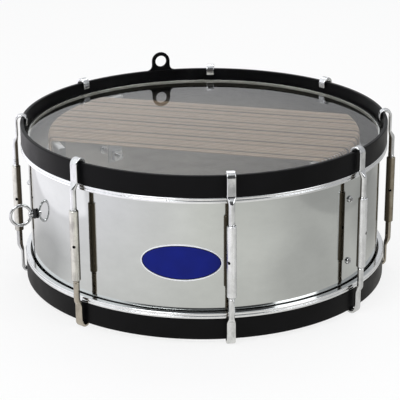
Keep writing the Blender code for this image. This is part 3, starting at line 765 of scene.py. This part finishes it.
class DRUM_OT_shell(bpy.types.Operator):
    """Build the polished shell with its turned-in edges"""
    bl_idname = "drum.shell"
    bl_label = "Shell"

    def execute(self, context):
        s = sizes()
        top, foot = SHELL_HIGH.z, SHELL_LOW.z
        outer, inner, lip = SHELL_R, SHELL_R - s.shell_wall, SHELL_R - s.shell_edge
        bend, hem, step = 0.0012, 0.0036, 0.0007
        soft, fine = 0.0006, 0.0005
        profile = rounded([
            (outer, foot, bend), (outer, top, bend), (lip, top - bend / 2, soft), (lip, top - hem, fine),
            (inner, top - hem - step, 0.0), (inner, foot + hem + step, 0.0), (lip, foot + hem, fine),
            (lip, foot + bend / 2, soft),
        ])
        bm = bmesh.new()
        lathe(bm, profile, s.steps)
        bmesh.ops.recalc_face_normals(bm, faces=bm.faces)
        for face in bm.faces:
            middle = face.calc_center_median()
            away = Vector((middle.x, middle.y, 0.0)).normalized()
            if face.normal.dot(away) < -0.5:
                face.material_index = 1 if foot + hem < middle.z < top - hem else 2
        shell = new_piece("polished_shell", mesh_of(bm, "polished_shell"), "polished_sheet",
                          "inner_sheet", "hem_sheet")
        settle(shell, "drum_body", "shell_steel", "shell")
        return {"FINISHED"}


def film_outline(inset):
    """A head's film from its middle to its tucked edge, set in by a part of its thickness."""
    s = sizes()
    low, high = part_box("top_head")
    shoulder, seat = SHELL_R + FIT + s.film - inset, high.x - inset
    crest, collar = CREST - inset, CREST - 0.0050
    return rounded([(0.0, crest, 0.0), (shoulder, crest, s.film_round - inset), (shoulder, collar, 0.0030),
                    (seat, RING_HIGH.z, 0.0010), (seat, low.z, 0.0), (0.0, low.z, 0.0)], 6)[:-1]


class DRUM_OT_heads(bpy.types.Operator):
    """Build the two clear heads with the collars that hold them"""
    bl_idname = "drum.heads"
    bl_label = "Heads"

    def execute(self, context):
        profile = film_outline(0.0) + film_outline(sizes().film)[::-1]
        turned_pair(profile, "clear_film", ("clear_head", "top_head", "upper_film"),
                    ("lower_head", "bottom_head", "lower_film"))
        return {"FINISHED"}


class DRUM_OT_rings(bpy.types.Operator):
    """Build the bright flesh rings, each with two beads and a groove"""
    bl_idname = "drum.rings"
    bl_label = "Flesh rings"

    def execute(self, context):
        top, foot = RING_HIGH.z, RING_LOW.z
        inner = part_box("top_head")[1].x + FIT
        half, groove, depth = (top + foot) / 2, 0.0006, 0.0007
        bead, fine = 0.0007, 0.0004
        profile = rounded([
            (inner, foot, fine), (RING_R, foot, bead), (RING_R, half - groove, fine),
            (RING_R - depth, half, 0.0), (RING_R, half + groove, fine), (RING_R, top, bead),
            (inner, top, fine),
        ], 5)
        turned_pair(profile, "chrome", ("upper_ring", "top_flesh_ring", "ring_plating"),
                    ("lower_ring", "bottom_flesh_ring", "ring_plating"))
        return {"FINISHED"}


class DRUM_OT_hoops(bpy.types.Operator):
    """Build the flat black counterhoops"""
    bl_idname = "drum.hoops"
    bl_label = "Counterhoops"

    def execute(self, context):
        s = sizes()
        inner, foot, edge = HOOP_R - s.hoop_wall, HOOP_LOW.z, s.hoop_edge
        profile = rounded([(inner, foot, edge), (HOOP_R, foot, edge), (HOOP_R, HOOP_TOP, edge),
                           (inner, HOOP_TOP, edge)])
        turned_pair(profile, "black_enamel", ("upper_hoop", "top_hoop", "satin_enamel"),
                    ("lower_hoop", "bottom_hoop", "satin_enamel"))
        return {"FINISHED"}


def strap_section(width, thickness, corner):
    """The outline of a bar's section: x across its thickness, y across its width."""
    t, w = thickness / 2, width / 2
    return rounded([(t, -w, corner), (t, w, corner), (-t, w, corner), (-t, -w, corner)])


def loft(bm, stations):
    """A closed bar through stations (x, z, width, thickness, corner) in the XZ plane."""
    rings = []
    for i, (x, z, width, thickness, corner) in enumerate(stations):
        before = stations[max(i - 1, 0)]
        after = stations[min(i + 1, len(stations) - 1)]
        along = Vector((after[0] - before[0], 0.0, after[1] - before[1])).normalized()
        across = Vector((along.z, 0.0, -along.x))
        rings.append([bm.verts.new(Vector((x, 0.0, z)) + across * u + Vector((0.0, v, 0.0)))
                      for u, v in strap_section(width, thickness, corner)])
    add_skin(bm, rings, False)
    bm.faces.new(rings[0][::-1])
    bm.faces.new(rings[-1])


def hook_pattern():
    """The upper claw hook in its rod's frame: X outwards, Z up from the drum's middle."""
    s = sizes()
    w, t, c = s.strap_w, s.strap_t, 0.0008
    tip_l, neck_steps = 0.0050, 14
    strap_x = s.strap_off + t / 2 - (ROD_R - HOOP_R)
    arch = s.claw_r + t / 2
    arch_x = strap_x - arch
    arch_z = MIDDLE - CAD_LOW.z - s.claw_r - t
    tip_x, tip_z = arch_x - arch, arch_z - tip_l
    stations = [
        (tip_x, tip_z, w - 0.0018, t - 0.0014, 0.0005),
        (tip_x, tip_z + 0.0003, w - 0.0008, t - 0.0006, c),
        (tip_x, tip_z + 0.0009, w, t, c),
    ]
    for x, z in arc((arch_x, arch_z), (arch, arch), math.pi, -math.pi, 16):
        stations.append((x, z, w, t, c))
    neck_top = HOOP_TOP - MIDDLE - NECK_DROP
    stations.append((strap_x, neck_top + 0.0010, w, t, c))
    # Rounding a hair under half the rod's width keeps the points of its corners apart
    rod, rod_corner = s.rod_d, s.rod_d / 2 - 0.00002
    for i in range(neck_steps + 1):
        share = i / neck_steps
        ease = share * share * (3.0 - 2.0 * share)
        stations.append((strap_x * (1.0 - ease), neck_top - NECK_L * share, w + (rod - w) * ease,
                         t + (rod - t) * ease, c + (rod_corner - c) * ease))
    inside, chamfer = s.tube_l / 2 - 0.026, 0.0006
    stations.append((0.0, inside + chamfer, rod, rod, rod_corner))
    stations.append((0.0, inside, rod - 0.0010, rod - 0.0010, rod_corner - 0.0005))
    bm = bmesh.new()
    loft(bm, stations)
    ridge = grown("thread", thread_ridge(), "hook_plating", Radius=rod / 2 - 0.00008,
                  Pitch=s.thread_pitch, Turns=28.0, Ridge=0.00030)
    add_mesh(bm, ridge, Matrix.Translation((0.0, 0.0, inside + chamfer)))
    bpy.data.meshes.remove(ridge)
    bmesh.ops.recalc_face_normals(bm, faces=bm.faces)
    mesh = bpy.data.meshes.new("hook_pattern")
    bm.to_mesh(mesh)
    bm.free()
    return smooth(mesh, 40.0)


def stand_on_rod(pattern, rod, name, node, slot_name, finish, height=MIDDLE, spin=0.0):
    """Stands a pattern at a rod as a piece of its own, on the body that has its node's name."""
    mesh = grown(name, rod_place(), finish, Pattern=pattern, Radius=ROD_R, Height=height,
                 Azimuth=math.radians(ROD_AZIMUTH[rod]), Spin=math.radians(spin))
    settle(new_piece(name, mesh), node, slot_name, node)


class DRUM_OT_hooks(bpy.types.Operator):
    """Build the claw hooks with their threaded rods"""
    bl_idname = "drum.hooks"
    bl_label = "Claw hooks"

    def execute(self, context):
        upper = hook_pattern()
        lower = upper.copy()
        lower.transform(Matrix.Diagonal((1.0, 1.0, -1.0, 1.0)))
        lower.flip_normals()
        worn = ("bottom_hook_front_left", "bottom_hook_right")
        for kind, mesh in (("top_hook", upper), ("bottom_hook", lower)):
            pattern = new_piece(kind + "_pattern", mesh)
            for rod in RODS:
                node = f"{kind}_{rod}"
                finish = "worn_plating" if node in worn else "hook_plating"
                stand_on_rod(pattern, rod, "claw_" + node, node, "chrome", finish)
            bpy.data.objects.remove(pattern)
        return {"FINISHED"}


def tube_pattern():
    """A turnbuckle tube with chamfered rims, a bore and a cross hole along X."""
    s = sizes()
    outer, bore, half = s.tube_d / 2, s.rod_d / 2 + 0.0004, s.tube_l / 2
    rim, soft, fine = 0.0008, 0.0003, 0.0002
    profile = rounded([
        (bore, -half, 0.0), (outer - rim, -half, fine), (outer, -half + rim, soft),
        (outer, half - rim, soft), (outer - rim, half, fine), (bore, half, 0.0),
    ], 3)
    bm = bmesh.new()
    lathe(bm, profile, 48)
    tool = bmesh.new()
    across = Matrix.Rotation(math.radians(90.0), 4, "Y")
    bmesh.ops.create_cone(tool, cap_ends=True, segments=24, radius1=s.bar_hole / 2, radius2=s.bar_hole / 2,
                          depth=3 * s.tube_d, matrix=across)
    return cut_with(mesh_of(bm, "tube_pattern"), tool, "tube_pattern")


class DRUM_OT_tubes(bpy.types.Operator):
    """Build the turnbuckle tubes"""
    bl_idname = "drum.tubes"
    bl_label = "Turnbuckle tubes"

    def execute(self, context):
        # Which way each tube's cross hole looks, in degrees round the drum
        facing = {"right": 268.0, "back_right": 60.0, "back": 20.0, "back_left": 70.0, "left": 262.0,
                  "front_left": 262.0, "front": 232.0, "front_right": 335.0}
        finishes = {"right": "aged_zinc", "front": "pale_zinc", "front_right": "pale_zinc"}
        pattern = new_piece("tube_pattern", tube_pattern())
        for rod in RODS:
            node = "tube_" + rod
            height = joint_named(node + "_turn")["pos_m"][2]
            stand_on_rod(pattern, rod, "turnbuckle_" + rod, node, "zinc_plate",
                         finishes.get(rod, "dull_zinc"), height, facing[rod] - ROD_AZIMUTH[rod])
        bpy.data.objects.remove(pattern)
        return {"FINISHED"}


def flat_plate(name, outlines, thickness, edge):
    """A plate with rounded edges from flat outlines, in the XY plane."""
    curve = bpy.data.curves.new(name, "CURVE")
    curve.dimensions = "2D"
    curve.fill_mode = "BOTH"
    curve.extrude = thickness / 2 - edge
    curve.bevel_depth = edge
    curve.bevel_resolution = 2
    curve.offset = -edge
    for outline in outlines:
        spline = curve.splines.new("POLY")
        spline.points.add(len(outline) - 1)
        for point, (x, y) in zip(spline.points, outline):
            point.co = (x, y, 0.0, 1.0)
        spline.use_cyclic_u = True
    mesh = flattened(new_piece(name, curve), name)
    bm = bmesh.new()
    bm.from_mesh(mesh)
    bpy.data.meshes.remove(mesh)
    return bm


class DRUM_OT_eye(bpy.types.Operator):
    """Build the sling eye on the top hoop"""
    bl_idname = "drum.eye"
    bl_label = "Sling eye"

    def execute(self, context):
        low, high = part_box("sling_eye")
        half_w, half_foot, hole_r, thick = 0.01015, 0.0152, 0.0063, 0.0030
        centre, flare_h, flare_steps = (0.0, 0.0103), 0.00621, 8
        turns = [math.pi / 2 * i / flare_steps for i in range(1, flare_steps + 1)]
        flare = [(half_foot + (half_w - half_foot) * math.sin(a), flare_h * (1.0 - math.cos(a)))
                 for a in turns]
        crown = arc(centre, (half_w, half_w), 0.0, math.pi, 32)
        outline = [(-half_foot, 0.0), (half_foot, 0.0), *flare, *crown, *((-x, y) for x, y in flare[::-1])]
        hole = arc(centre, (hole_r, hole_r), 0.0, math.tau, 40)[:-1]
        bm = flat_plate("sling_plate", (outline, hole), thick, 0.0005)
        upright = Matrix(((0, 0, 1, 0), (1, 0, 0, 0), (0, 1, 0, 0), (0, 0, 0, 1)))
        radius = HOOP_R - sizes().hoop_wall / 2
        bm.transform(outwards(azimuth_of((low + high) / 2), radius, HOOP_TOP + 0.0001) @ upright)
        settle(new_piece("sling_plate", mesh_of(bm, "sling_plate"), "satin_enamel"), "drum_body",
               "black_enamel", "sling_eye")
        return {"FINISHED"}


def cord_route():
    """The snare's path: runs side by side, bent down at each end and turned back in the clamps."""
    s = sizes()
    low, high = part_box("snare_cord")
    top, tail = high.z - s.cord_d / 2, low.z + s.cord_d / 2
    runs, bend = 36, s.cord_bend
    route = []
    for i in range(runs):
        y = (i - (runs - 1) / 2) * s.cord_pitch
        reach = math.sqrt(s.snare_r ** 2 - y * y)
        end = [(reach, tail), (reach, (tail + top) / 2),
               *arc((reach - bend, top - bend), (bend, bend), 0.0, math.pi / 2, 6)]
        run = end + [(-x, z) for x, z in reversed(end)]
        if i % 2:
            run.reverse()
        route += [(x, y, z) for x, z in run]
    return route


class DRUM_OT_snare(bpy.types.Operator):
    """Build the laced snare cord under the top head"""
    bl_idname = "drum.snare"
    bl_label = "Snare cord"

    def execute(self, context):
        s = sizes()
        route = cord_route()
        path = bpy.data.meshes.new("snare_path")
        path.from_pydata(route, [(i, i + 1) for i in range(len(route) - 1)], [])
        cord = grown("snare_cords", laced_cord(), "twisted_cord", path, Radius=s.cord_d / 2, Sides=8)
        cord.transform(outwards(SNARE_AZIMUTH, 0.0, 0.0))
        piece = new_piece("snare_cords", cord)
        settle(piece, "drum_body", "snare_cord", "snare_cord")
        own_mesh(piece)
        return {"FINISHED"}


def pan_head():
    """A pan-head screw on the XY plane, with a cross recess in its head."""
    head_r, flat_r, shank_r = 0.0033, 0.0016, 0.0020
    brim, dome, depth = 0.0008, 0.0014, 0.0080
    crown = arc((flat_r, brim), (head_r - flat_r, dome), math.pi / 2, -math.pi / 2, 6)
    bm = bmesh.new()
    lathe(bm, [(0.0, brim + dome), *crown, (head_r, 0.0), (shank_r, 0.0), (shank_r, -depth), (0.0, -depth)],
          SMALL_STEPS)
    tool = bmesh.new()
    reach, half = 0.0018, 0.00035
    outline = []
    for quarter in range(4):
        turn = Matrix.Rotation(quarter * math.pi / 2, 2)
        outline += [turn @ Vector(corner) for corner in ((reach, -half), (reach, half), (half, half))]
    floor, above = 0.0012, 0.0032
    rings = [[tool.verts.new((corner.x, corner.y, z)) for corner in outline] for z in (floor, above)]
    add_skin(tool, rings, False)
    tool.faces.new(rings[0][::-1])
    tool.faces.new(rings[1])
    return cut_with(mesh_of(bm, "pan_head"), tool, "pan_head")


class DRUM_OT_screws(bpy.types.Operator):
    """Build the pan-head screws that hold the butt's brackets"""
    bl_idname = "drum.screws"
    bl_label = "Butt screws"

    def execute(self, context):
        nodes = [name for name in sorted(frame["nodes"]) if name.startswith("butt_screw_")]
        seats = []
        for node in nodes:
            low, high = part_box(node)
            middle = (low + high) / 2
            seats.append(on_wall(math.atan2(middle.y, middle.x), SHELL_R + FIT, middle.z))
        points = bpy.data.meshes.new("screw_seats")
        points.from_pydata(seats, [], [])
        pattern = new_piece("pan_head", pan_head())
        screws = grown("bracket_screws", screws_outwards(), "bright_plating", points, Pattern=pattern)
        bpy.data.objects.remove(pattern)
        settle(new_piece("bracket_screws", screws), "drum_body", "chrome", *nodes)
        return {"FINISHED"}


def knob(bm, low, high, foot, crown, steps=4):
    """A round solid on the Z axis from low to high. Its foot and its crown are (radius, rounding)."""
    (foot_r, foot_edge), (crown_r, crown_edge) = foot, crown
    profile = rounded([(0.0, low, 0.0), (foot_r, low, foot_edge), (crown_r, high, crown_edge),
                       (0.0, high, 0.0)], steps)
    lathe(bm, profile, SMALL_STEPS)


def draw_shank(bm, end):
    """A draw screw's round shank, from its inner end to an end inside its head."""
    inner = min(plan_radius(v.co) for v in frame["nodes"]["wing_screw"].data.vertices)
    knob(bm, inner - SHELL_R, end, (0.0025, 0.0005), (0.0025, 0.0), 3)


def settle_draw_screw(bm, name, side, node, turn=0.0):
    """Stands a draw screw on the shell, turned about its own axis, as the piece of its node."""
    spin = Matrix.Rotation(math.radians(turn), 4, "Z")
    bm.transform(along_radius(DRAW_AZIMUTH[side], SHELL_R, MIDDLE) @ spin)
    settle(new_piece(name, mesh_of(bm, name, 45.0), "bright_plating"), node, "chrome", node)


class DRUM_OT_ring_screws(bpy.types.Operator):
    """Build the two strainer screws with drawn rings for heads"""
    bl_idname = "drum.ring_screws"
    bl_label = "Ring screws"

    def execute(self, context):
        wire, loop_d, neck, half = 0.0032, 0.0240, 0.0008, math.radians(22.0)
        radius = (loop_d - wire) / 2
        route = [(neck, 0.0), *arc((neck + radius / math.cos(half), 0.0), (radius, radius), math.pi - half,
                                   2 * half - math.tau, 48)]
        count = len(route)
        path = bpy.data.meshes.new("ring_path")
        path.from_pydata([(up, 0.0, HEAD_SEAT + out) for out, up in route],
                         [(i, (i + 1) % count) for i in range(count)], [])
        ring = grown("drawn_ring", laced_cord(), "bright_plating", path, Radius=wire / 2, Sides=16)
        for side in ("front", "back"):
            bm = bmesh.new()
            add_mesh(bm, ring)
            draw_shank(bm, HEAD_SEAT + 0.0016)
            knob(bm, HEAD_SEAT - 0.0001, HEAD_SEAT + 0.0042, (0.0031, 0.0003), (0.0026, 0.0010))
            settle_draw_screw(bm, "finger_ring_" + side, side, "ring_screw_" + side)
        bpy.data.meshes.remove(ring)
        return {"FINISHED"}


class DRUM_OT_wing_screw(bpy.types.Operator):
    """Build the strainer's middle screw with its two wings"""
    bl_idname = "drum.wing_screw"
    bl_label = "Wing screw"

    def execute(self, context):
        # A wing's corners: out from the axis, up from the head's seat, and rounding
        corners = ((0.0010, 0.0014, 0.0), (0.0045, 0.0016, 0.0010), (0.0105, 0.0070, 0.0022),
                   (0.0090, 0.0129, 0.0020), (0.0040, 0.0096, 0.0020), (0.0010, 0.0056, 0.0))
        upright = Matrix(((1, 0, 0, 0), (0, 0, -1, 0), (0, 1, 0, 0), (0, 0, 0, 1)))
        bm = bmesh.new()
        draw_shank(bm, HEAD_SEAT + 0.0030)
        knob(bm, HEAD_SEAT, HEAD_SEAT + 0.0062, (0.0040, 0.0004), (0.0034, 0.0012))
        for side in (-1, 1):
            outline = rounded([(side * out, HEAD_SEAT + up, edge) for out, up, edge in corners][::side], 5)
            wing = flat_plate("wing", (outline,), 0.0018, 0.0005)
            wing.transform(upright)
            mesh = mesh_of(wing, "wing")
            add_mesh(bm, mesh)
            bpy.data.meshes.remove(mesh)
        settle_draw_screw(bm, "wing_head", "middle", "wing_screw", 35.0)
        return {"FINISHED"}


class DRUM_OT_washers(bpy.types.Operator):
    """Build the rubber washers between the strainer's screws and the shell"""
    bl_idname = "drum.washers"
    bl_label = "Rubber washers"

    def execute(self, context):
        bore, rim, belly, thick, soft = 0.0029, 0.0049, 0.0052, 0.0028, 0.0010
        profile = rounded([(bore, 0.0, 0.0), (rim, 0.0, soft), (belly, thick / 2, 0.0004),
                           (rim, thick, soft), (bore, thick, 0.0)])
        for side, azimuth in DRAW_AZIMUTH.items():
            bm = bmesh.new()
            lathe(bm, profile, SMALL_STEPS, along_radius(azimuth, SHELL_R + 0.0001, MIDDLE))
            name = "rubber_" + side
            settle(new_piece(name, mesh_of(bm, name), "soft_rubber"), "drum_body", "black_rubber",
                   "grip_washer_" + side)
        return {"FINISHED"}


class DRUM_OT_inside(bpy.types.Operator):
    """Give the bridges, clamps, brackets, nuts and clips their finishes"""
    bl_idname = "drum.inside"
    bl_label = "Inner metal"

    def execute(self, context):
        for name, node in frame["nodes"].items():
            if node.hide_render:
                continue
            bent = name.startswith(("butt_bridge", "butt_clamp", "butt_bracket", "strainer_"))
            node.data.materials.clear()
            node.data.materials.append(look("folded_sheet" if bent else "bright_plating"))
        return {"FINISHED"}


class DRUM_OT_badge(bpy.types.Operator):
    """Build the plain oval badge with its pale rim"""
    bl_idname = "drum.badge"
    bl_label = "Badge"

    def execute(self, context):
        s = sizes()
        azimuth, height = math.radians(263.0), 0.0796
        half_w, half_h = s.badge_w / 2, s.badge_h / 2
        proud, ridge, sunk = 0.0005, 0.0007, -0.0004
        face, count = 1.0 - s.badge_rim / half_w, 96
        bm = bmesh.new()
        rings = []
        for share, lift in ((0.0, proud), (0.25, proud), (0.5, proud), (0.75, proud), (face - 0.028, proud),
                            (face - 0.002, proud), (face, ridge), (0.995, ridge), (1.0, 0.0), (1.0, sunk),
                            (0.0, sunk)):
            wide, tall = half_w * share, half_h * share
            if share > 0.9:
                # The rim is as wide at the oval's ends as at its sides
                tall = half_h - (half_w - wide)
            turns = [math.tau * k / count for k in range(count)] if share else [0.0]
            rings.append([bm.verts.new(on_wall(azimuth + wide * math.cos(a) / SHELL_R, SHELL_R + lift,
                                               height + tall * math.sin(a))) for a in turns])
        add_skin(bm, rings, False)
        bmesh.ops.recalc_face_normals(bm, faces=bm.faces)
        inner = set(v for ring in rings[:5] for v in ring)
        border = set(v for ring in rings[4:6] for v in ring)
        for face in bm.faces:
            if all(v in border for v in face.verts):
                face.material_index = 2
            elif not all(v in inner for v in face.verts):
                face.material_index = 1
        badge = new_piece("oval_badge", mesh_of(bm, "oval_badge"), "badge_face", "badge_rim", "badge_border")
        settle(badge, "drum_body", "black_enamel")
        return {"FINISHED"}


# Stage

# Painted panels of light and shade on the floor beside the drum, which its shell reflects: where each starts
# in x and in y, and its level
FLOOR_PAINTED_PATCHES = ((-0.405, -0.19, 1.35), (0.412, -0.335, 0.76))
# Tints of the floor in reflections, on the drum's left and on its right
COOL_SIDE = (1.0, 0.970, 1.02)
WARM_SIDE = (1.0, 0.985, 0.93)
# Where the floor's glow in reflections carries painted shadow, or painted light: centre, reach and level
FLOOR_SHADES = (
    ((-0.25, 0.0), 0.13, 0.60),
    ((0.23, -0.20), 0.14, 0.80),
    ((0.32, 0.15), 0.20, 0.50),
    ((-0.22, 0.24), 0.14, 0.55),
    ((0.150, -0.640), 0.12, 0.35),
    ((-0.03, -0.46), 0.17, 1.12),
    ((0.21, -0.39), 0.17, 1.15),
)
# Lamps: name, place, width and height, and power
LAMPS = (
    ("key", (-0.9, -1.3, 1.7), (1.0, 1.0), 16.0),
    ("fill", (1.5, -0.9, 1.1), (1.0, 1.2), 8.0),
    ("top", (0.1, 0.9, 1.9), (1.6, 0.9), 12.0),
)
LAMP_TARGET = (0.0, 0.0, 0.08)
# The camera fitted to the photograph. It stands this many of the hoop's radii back and up
CAMERA_BACK, CAMERA_UP, LENS = 7.7024, 2.3550, 132.31
PAN, PITCH, ROLL = -0.0031, 0.3540, -0.0066


def seen_rays(tree, path):
    """One for a ray that shows the stage straight, in metal or through film, and none for matt light."""
    straight = path["Is Camera Ray"]
    for other in ("Is Glossy Ray", "Is Transmission Ray"):
        straight = sums(tree, "MAXIMUM", straight, path[other])
    return sums(tree, "MULTIPLY", straight, mapped(tree, path["Diffuse Depth"], 0.0, 1.0, 1.0, 0.0))


def falloff(tree, x, low, high):
    """The studio's brightness in reflections, which fades from the left to the right."""
    return mapped(tree, x, low, high, 1.06, 0.47)


def changed(tree, fade, share, level):
    """A brightness times a level where the share is 1, and as it was where the share is 0."""
    return sums(tree, "MULTIPLY", fade, mapped(tree, share, 0.0, 1.0, 1.0, level))


def plain_in_view(tree, path, fade):
    """A brightness in reflections that is 1 where the camera looks straight at it."""
    return mapped(tree, path["Is Camera Ray"], 0.0, 1.0, fade, 1.0)


def floor_paint(name, base, share):
    """A matt surface that shows itself pale to the camera, and in reflections with a painted glow of light
    and shade, but lights plainly.
    """
    made, shader, tree = new_finish(name)
    space = pattern_space(tree)
    path = tree.nodes.new("ShaderNodeLightPath").outputs
    x, y = axes(tree, space, "XY")
    grain = noise(tree, space, 2.0, 2.0)
    feed_inputs(tree, shader, Roughness=0.9,
                Base_Color=shaded(tree, grain, base, 0.99, 1.01, 0.0, 1.0))
    fade = falloff(tree, x, -0.45, 0.45)
    # Painted panels of light and shade in the floor's glow
    for start_x, start_y, level in FLOOR_PAINTED_PATCHES:
        soft_x, soft_y = math.copysign(0.007, start_x), 0.01
        beyond_x = mapped(tree, x, start_x - soft_x, start_x + soft_x, 0.0, 1.0)
        beyond_y = mapped(tree, y, start_y - soft_y, start_y + soft_y, 0.0, 1.0)
        fade = changed(tree, fade, sums(tree, "MULTIPLY", beyond_x, beyond_y), level)
    # Painted shadows and pools of light in the floor's glow
    for centre, reach, level in FLOOR_SHADES:
        apart = worked_out(tree, "ShaderNodeVectorMath", "DISTANCE", space, (*centre, 0.0))["Value"]
        fade = sums(tree, "MULTIPLY", fade, mapped(tree, apart, reach * 0.45, reach, level, 1.0))
    tint = ramp(tree, mapped(tree, x, -0.40, 0.0, 0.0, 1.0), 0.0, 1.0, COOL_SIDE, WARM_SIDE)
    glow = add_node(tree, "ShaderNodeEmission", Strength=plain_in_view(tree, path, fade),
                    Color=blend(tree, path["Is Camera Ray"], tint, (1.0, 1.0, 1.0)))
    mix_surface(tree, sums(tree, "MULTIPLY", seen_rays(tree, path), share), shader, glow)
    return made


def add_sky(scene):
    """The studio round the drum: dark behind the camera, and sloping in brightness ahead of it."""
    world = bpy.data.worlds.new("studio")
    scene.world = world
    world.use_nodes = True
    tree = world.node_tree
    path = tree.nodes.new("ShaderNodeLightPath").outputs
    x, y = axes(tree, tree.nodes.new("ShaderNodeTexCoord").outputs["Generated"], "XY")
    fade = falloff(tree, x, -0.6, 0.8)
    fade = sums(tree, "MULTIPLY", fade, mapped(tree, y, -0.70, -0.50, 0.10, 1.0))
    slope = mapped(tree, x, -0.12, 0.12, 1.06, 0.80)
    fade = changed(tree, fade, mapped(tree, y, 0.80, 0.88, 0.0, 1.0), slope)
    level = mapped(tree, seen_rays(tree, path), 0.0, 1.0, 0.55, plain_in_view(tree, path, fade))
    feed_inputs(tree, tree.nodes["Background"], Color=(0.97, 0.98, 1.0, 1.0), Strength=level)


def add_lamp(scene, name, place, size, power):
    """An area lamp that looks at the drum and is itself out of sight."""
    lamp = bpy.data.lights.new(name, "AREA")
    lamp.shape = "RECTANGLE"
    lamp.size, lamp.size_y = size
    lamp.energy = power
    made = bpy.data.objects.new(name, lamp)
    scene.collection.objects.link(made)
    made.location = place
    made.rotation_mode = "QUATERNION"
    made.rotation_quaternion = (Vector(LAMP_TARGET) - Vector(place)).to_track_quat("-Z", "Y")
    made.visible_camera = False


def add_camera(scene):
    """The camera that sees the drum as the photograph does."""
    data = bpy.data.cameras.new("photo_camera")
    data.lens = LENS
    data.sensor_width = 36.0
    data.clip_start, data.clip_end = 0.05, 50.0
    camera = bpy.data.objects.new("photo_camera", data)
    scene.collection.objects.link(camera)
    forward = Vector((math.sin(PAN) * math.cos(PITCH), math.cos(PAN) * math.cos(PITCH), -math.sin(PITCH)))
    level_right = Vector((math.cos(PAN), -math.sin(PAN), 0.0))
    level_up = level_right.cross(forward)
    right = level_right * math.cos(ROLL) + level_up * math.sin(ROLL)
    up = level_up * math.cos(ROLL) - level_right * math.sin(ROLL)
    place = Matrix.Translation((0.0, -CAMERA_BACK * HOOP_R, HOOP_TOP + CAMERA_UP * HOOP_R))
    camera.matrix_world = place @ Matrix((right, up, -forward)).transposed().to_4x4()
    scene.camera = camera


class DRUM_OT_stage(bpy.types.Operator):
    """Build the floor, the sky, the lamps and the camera"""
    bl_idname = "drum.stage"
    bl_label = "Stage"

    def execute(self, context):
        scene = context.scene
        bm = bmesh.new()
        bmesh.ops.create_grid(bm, x_segments=1, y_segments=1, size=6.0)
        floor = new_piece("floor", mesh_of(bm, "floor"), "floor_paint")
        add_sky(scene)
        for lamp in LAMPS:
            add_lamp(scene, *lamp)
        add_camera(scene)
        scene.view_settings.view_transform = "Standard"
        return {"FINISHED"}


class DRUM_PT_panel(bpy.types.Panel):
    """Lists the drum's pieces"""
    bl_idname = "DRUM_PT_panel"
    bl_label = "Drum"
    bl_space_type = "VIEW_3D"
    bl_region_type = "UI"
    bl_category = "Drum"

    def draw(self, context):
        layout = self.layout
        for operator in OPERATORS:
            layout.operator(operator.bl_idname)
        for group in (context.scene.drum_sizes, context.scene.drum_colours):
            box = layout.box()
            for name in group.__annotations__:
                box.prop(group, name)


OPERATORS = (
    DRUM_OT_stage, DRUM_OT_shell, DRUM_OT_heads, DRUM_OT_rings, DRUM_OT_hoops, DRUM_OT_hooks, DRUM_OT_tubes,
    DRUM_OT_eye, DRUM_OT_snare, DRUM_OT_screws, DRUM_OT_ring_screws, DRUM_OT_wing_screw, DRUM_OT_washers,
    DRUM_OT_inside, DRUM_OT_badge,
)
CLASSES = (DrumSizes, DrumColours, *OPERATORS, DRUM_PT_panel)


def register():
    for one in CLASSES:
        bpy.utils.register_class(one)
    bpy.types.Scene.drum_sizes = PointerProperty(type=DrumSizes)
    bpy.types.Scene.drum_colours = PointerProperty(type=DrumColours)


def unregister():
    del bpy.types.Scene.drum_colours
    del bpy.types.Scene.drum_sizes
    for one in reversed(CLASSES):
        bpy.utils.unregister_class(one)


def main():
    register()
    for operator in OPERATORS:
        group, name = operator.bl_idname.split(".")
        getattr(getattr(bpy.ops, group), name)()


if __name__ == "__main__":
    main()
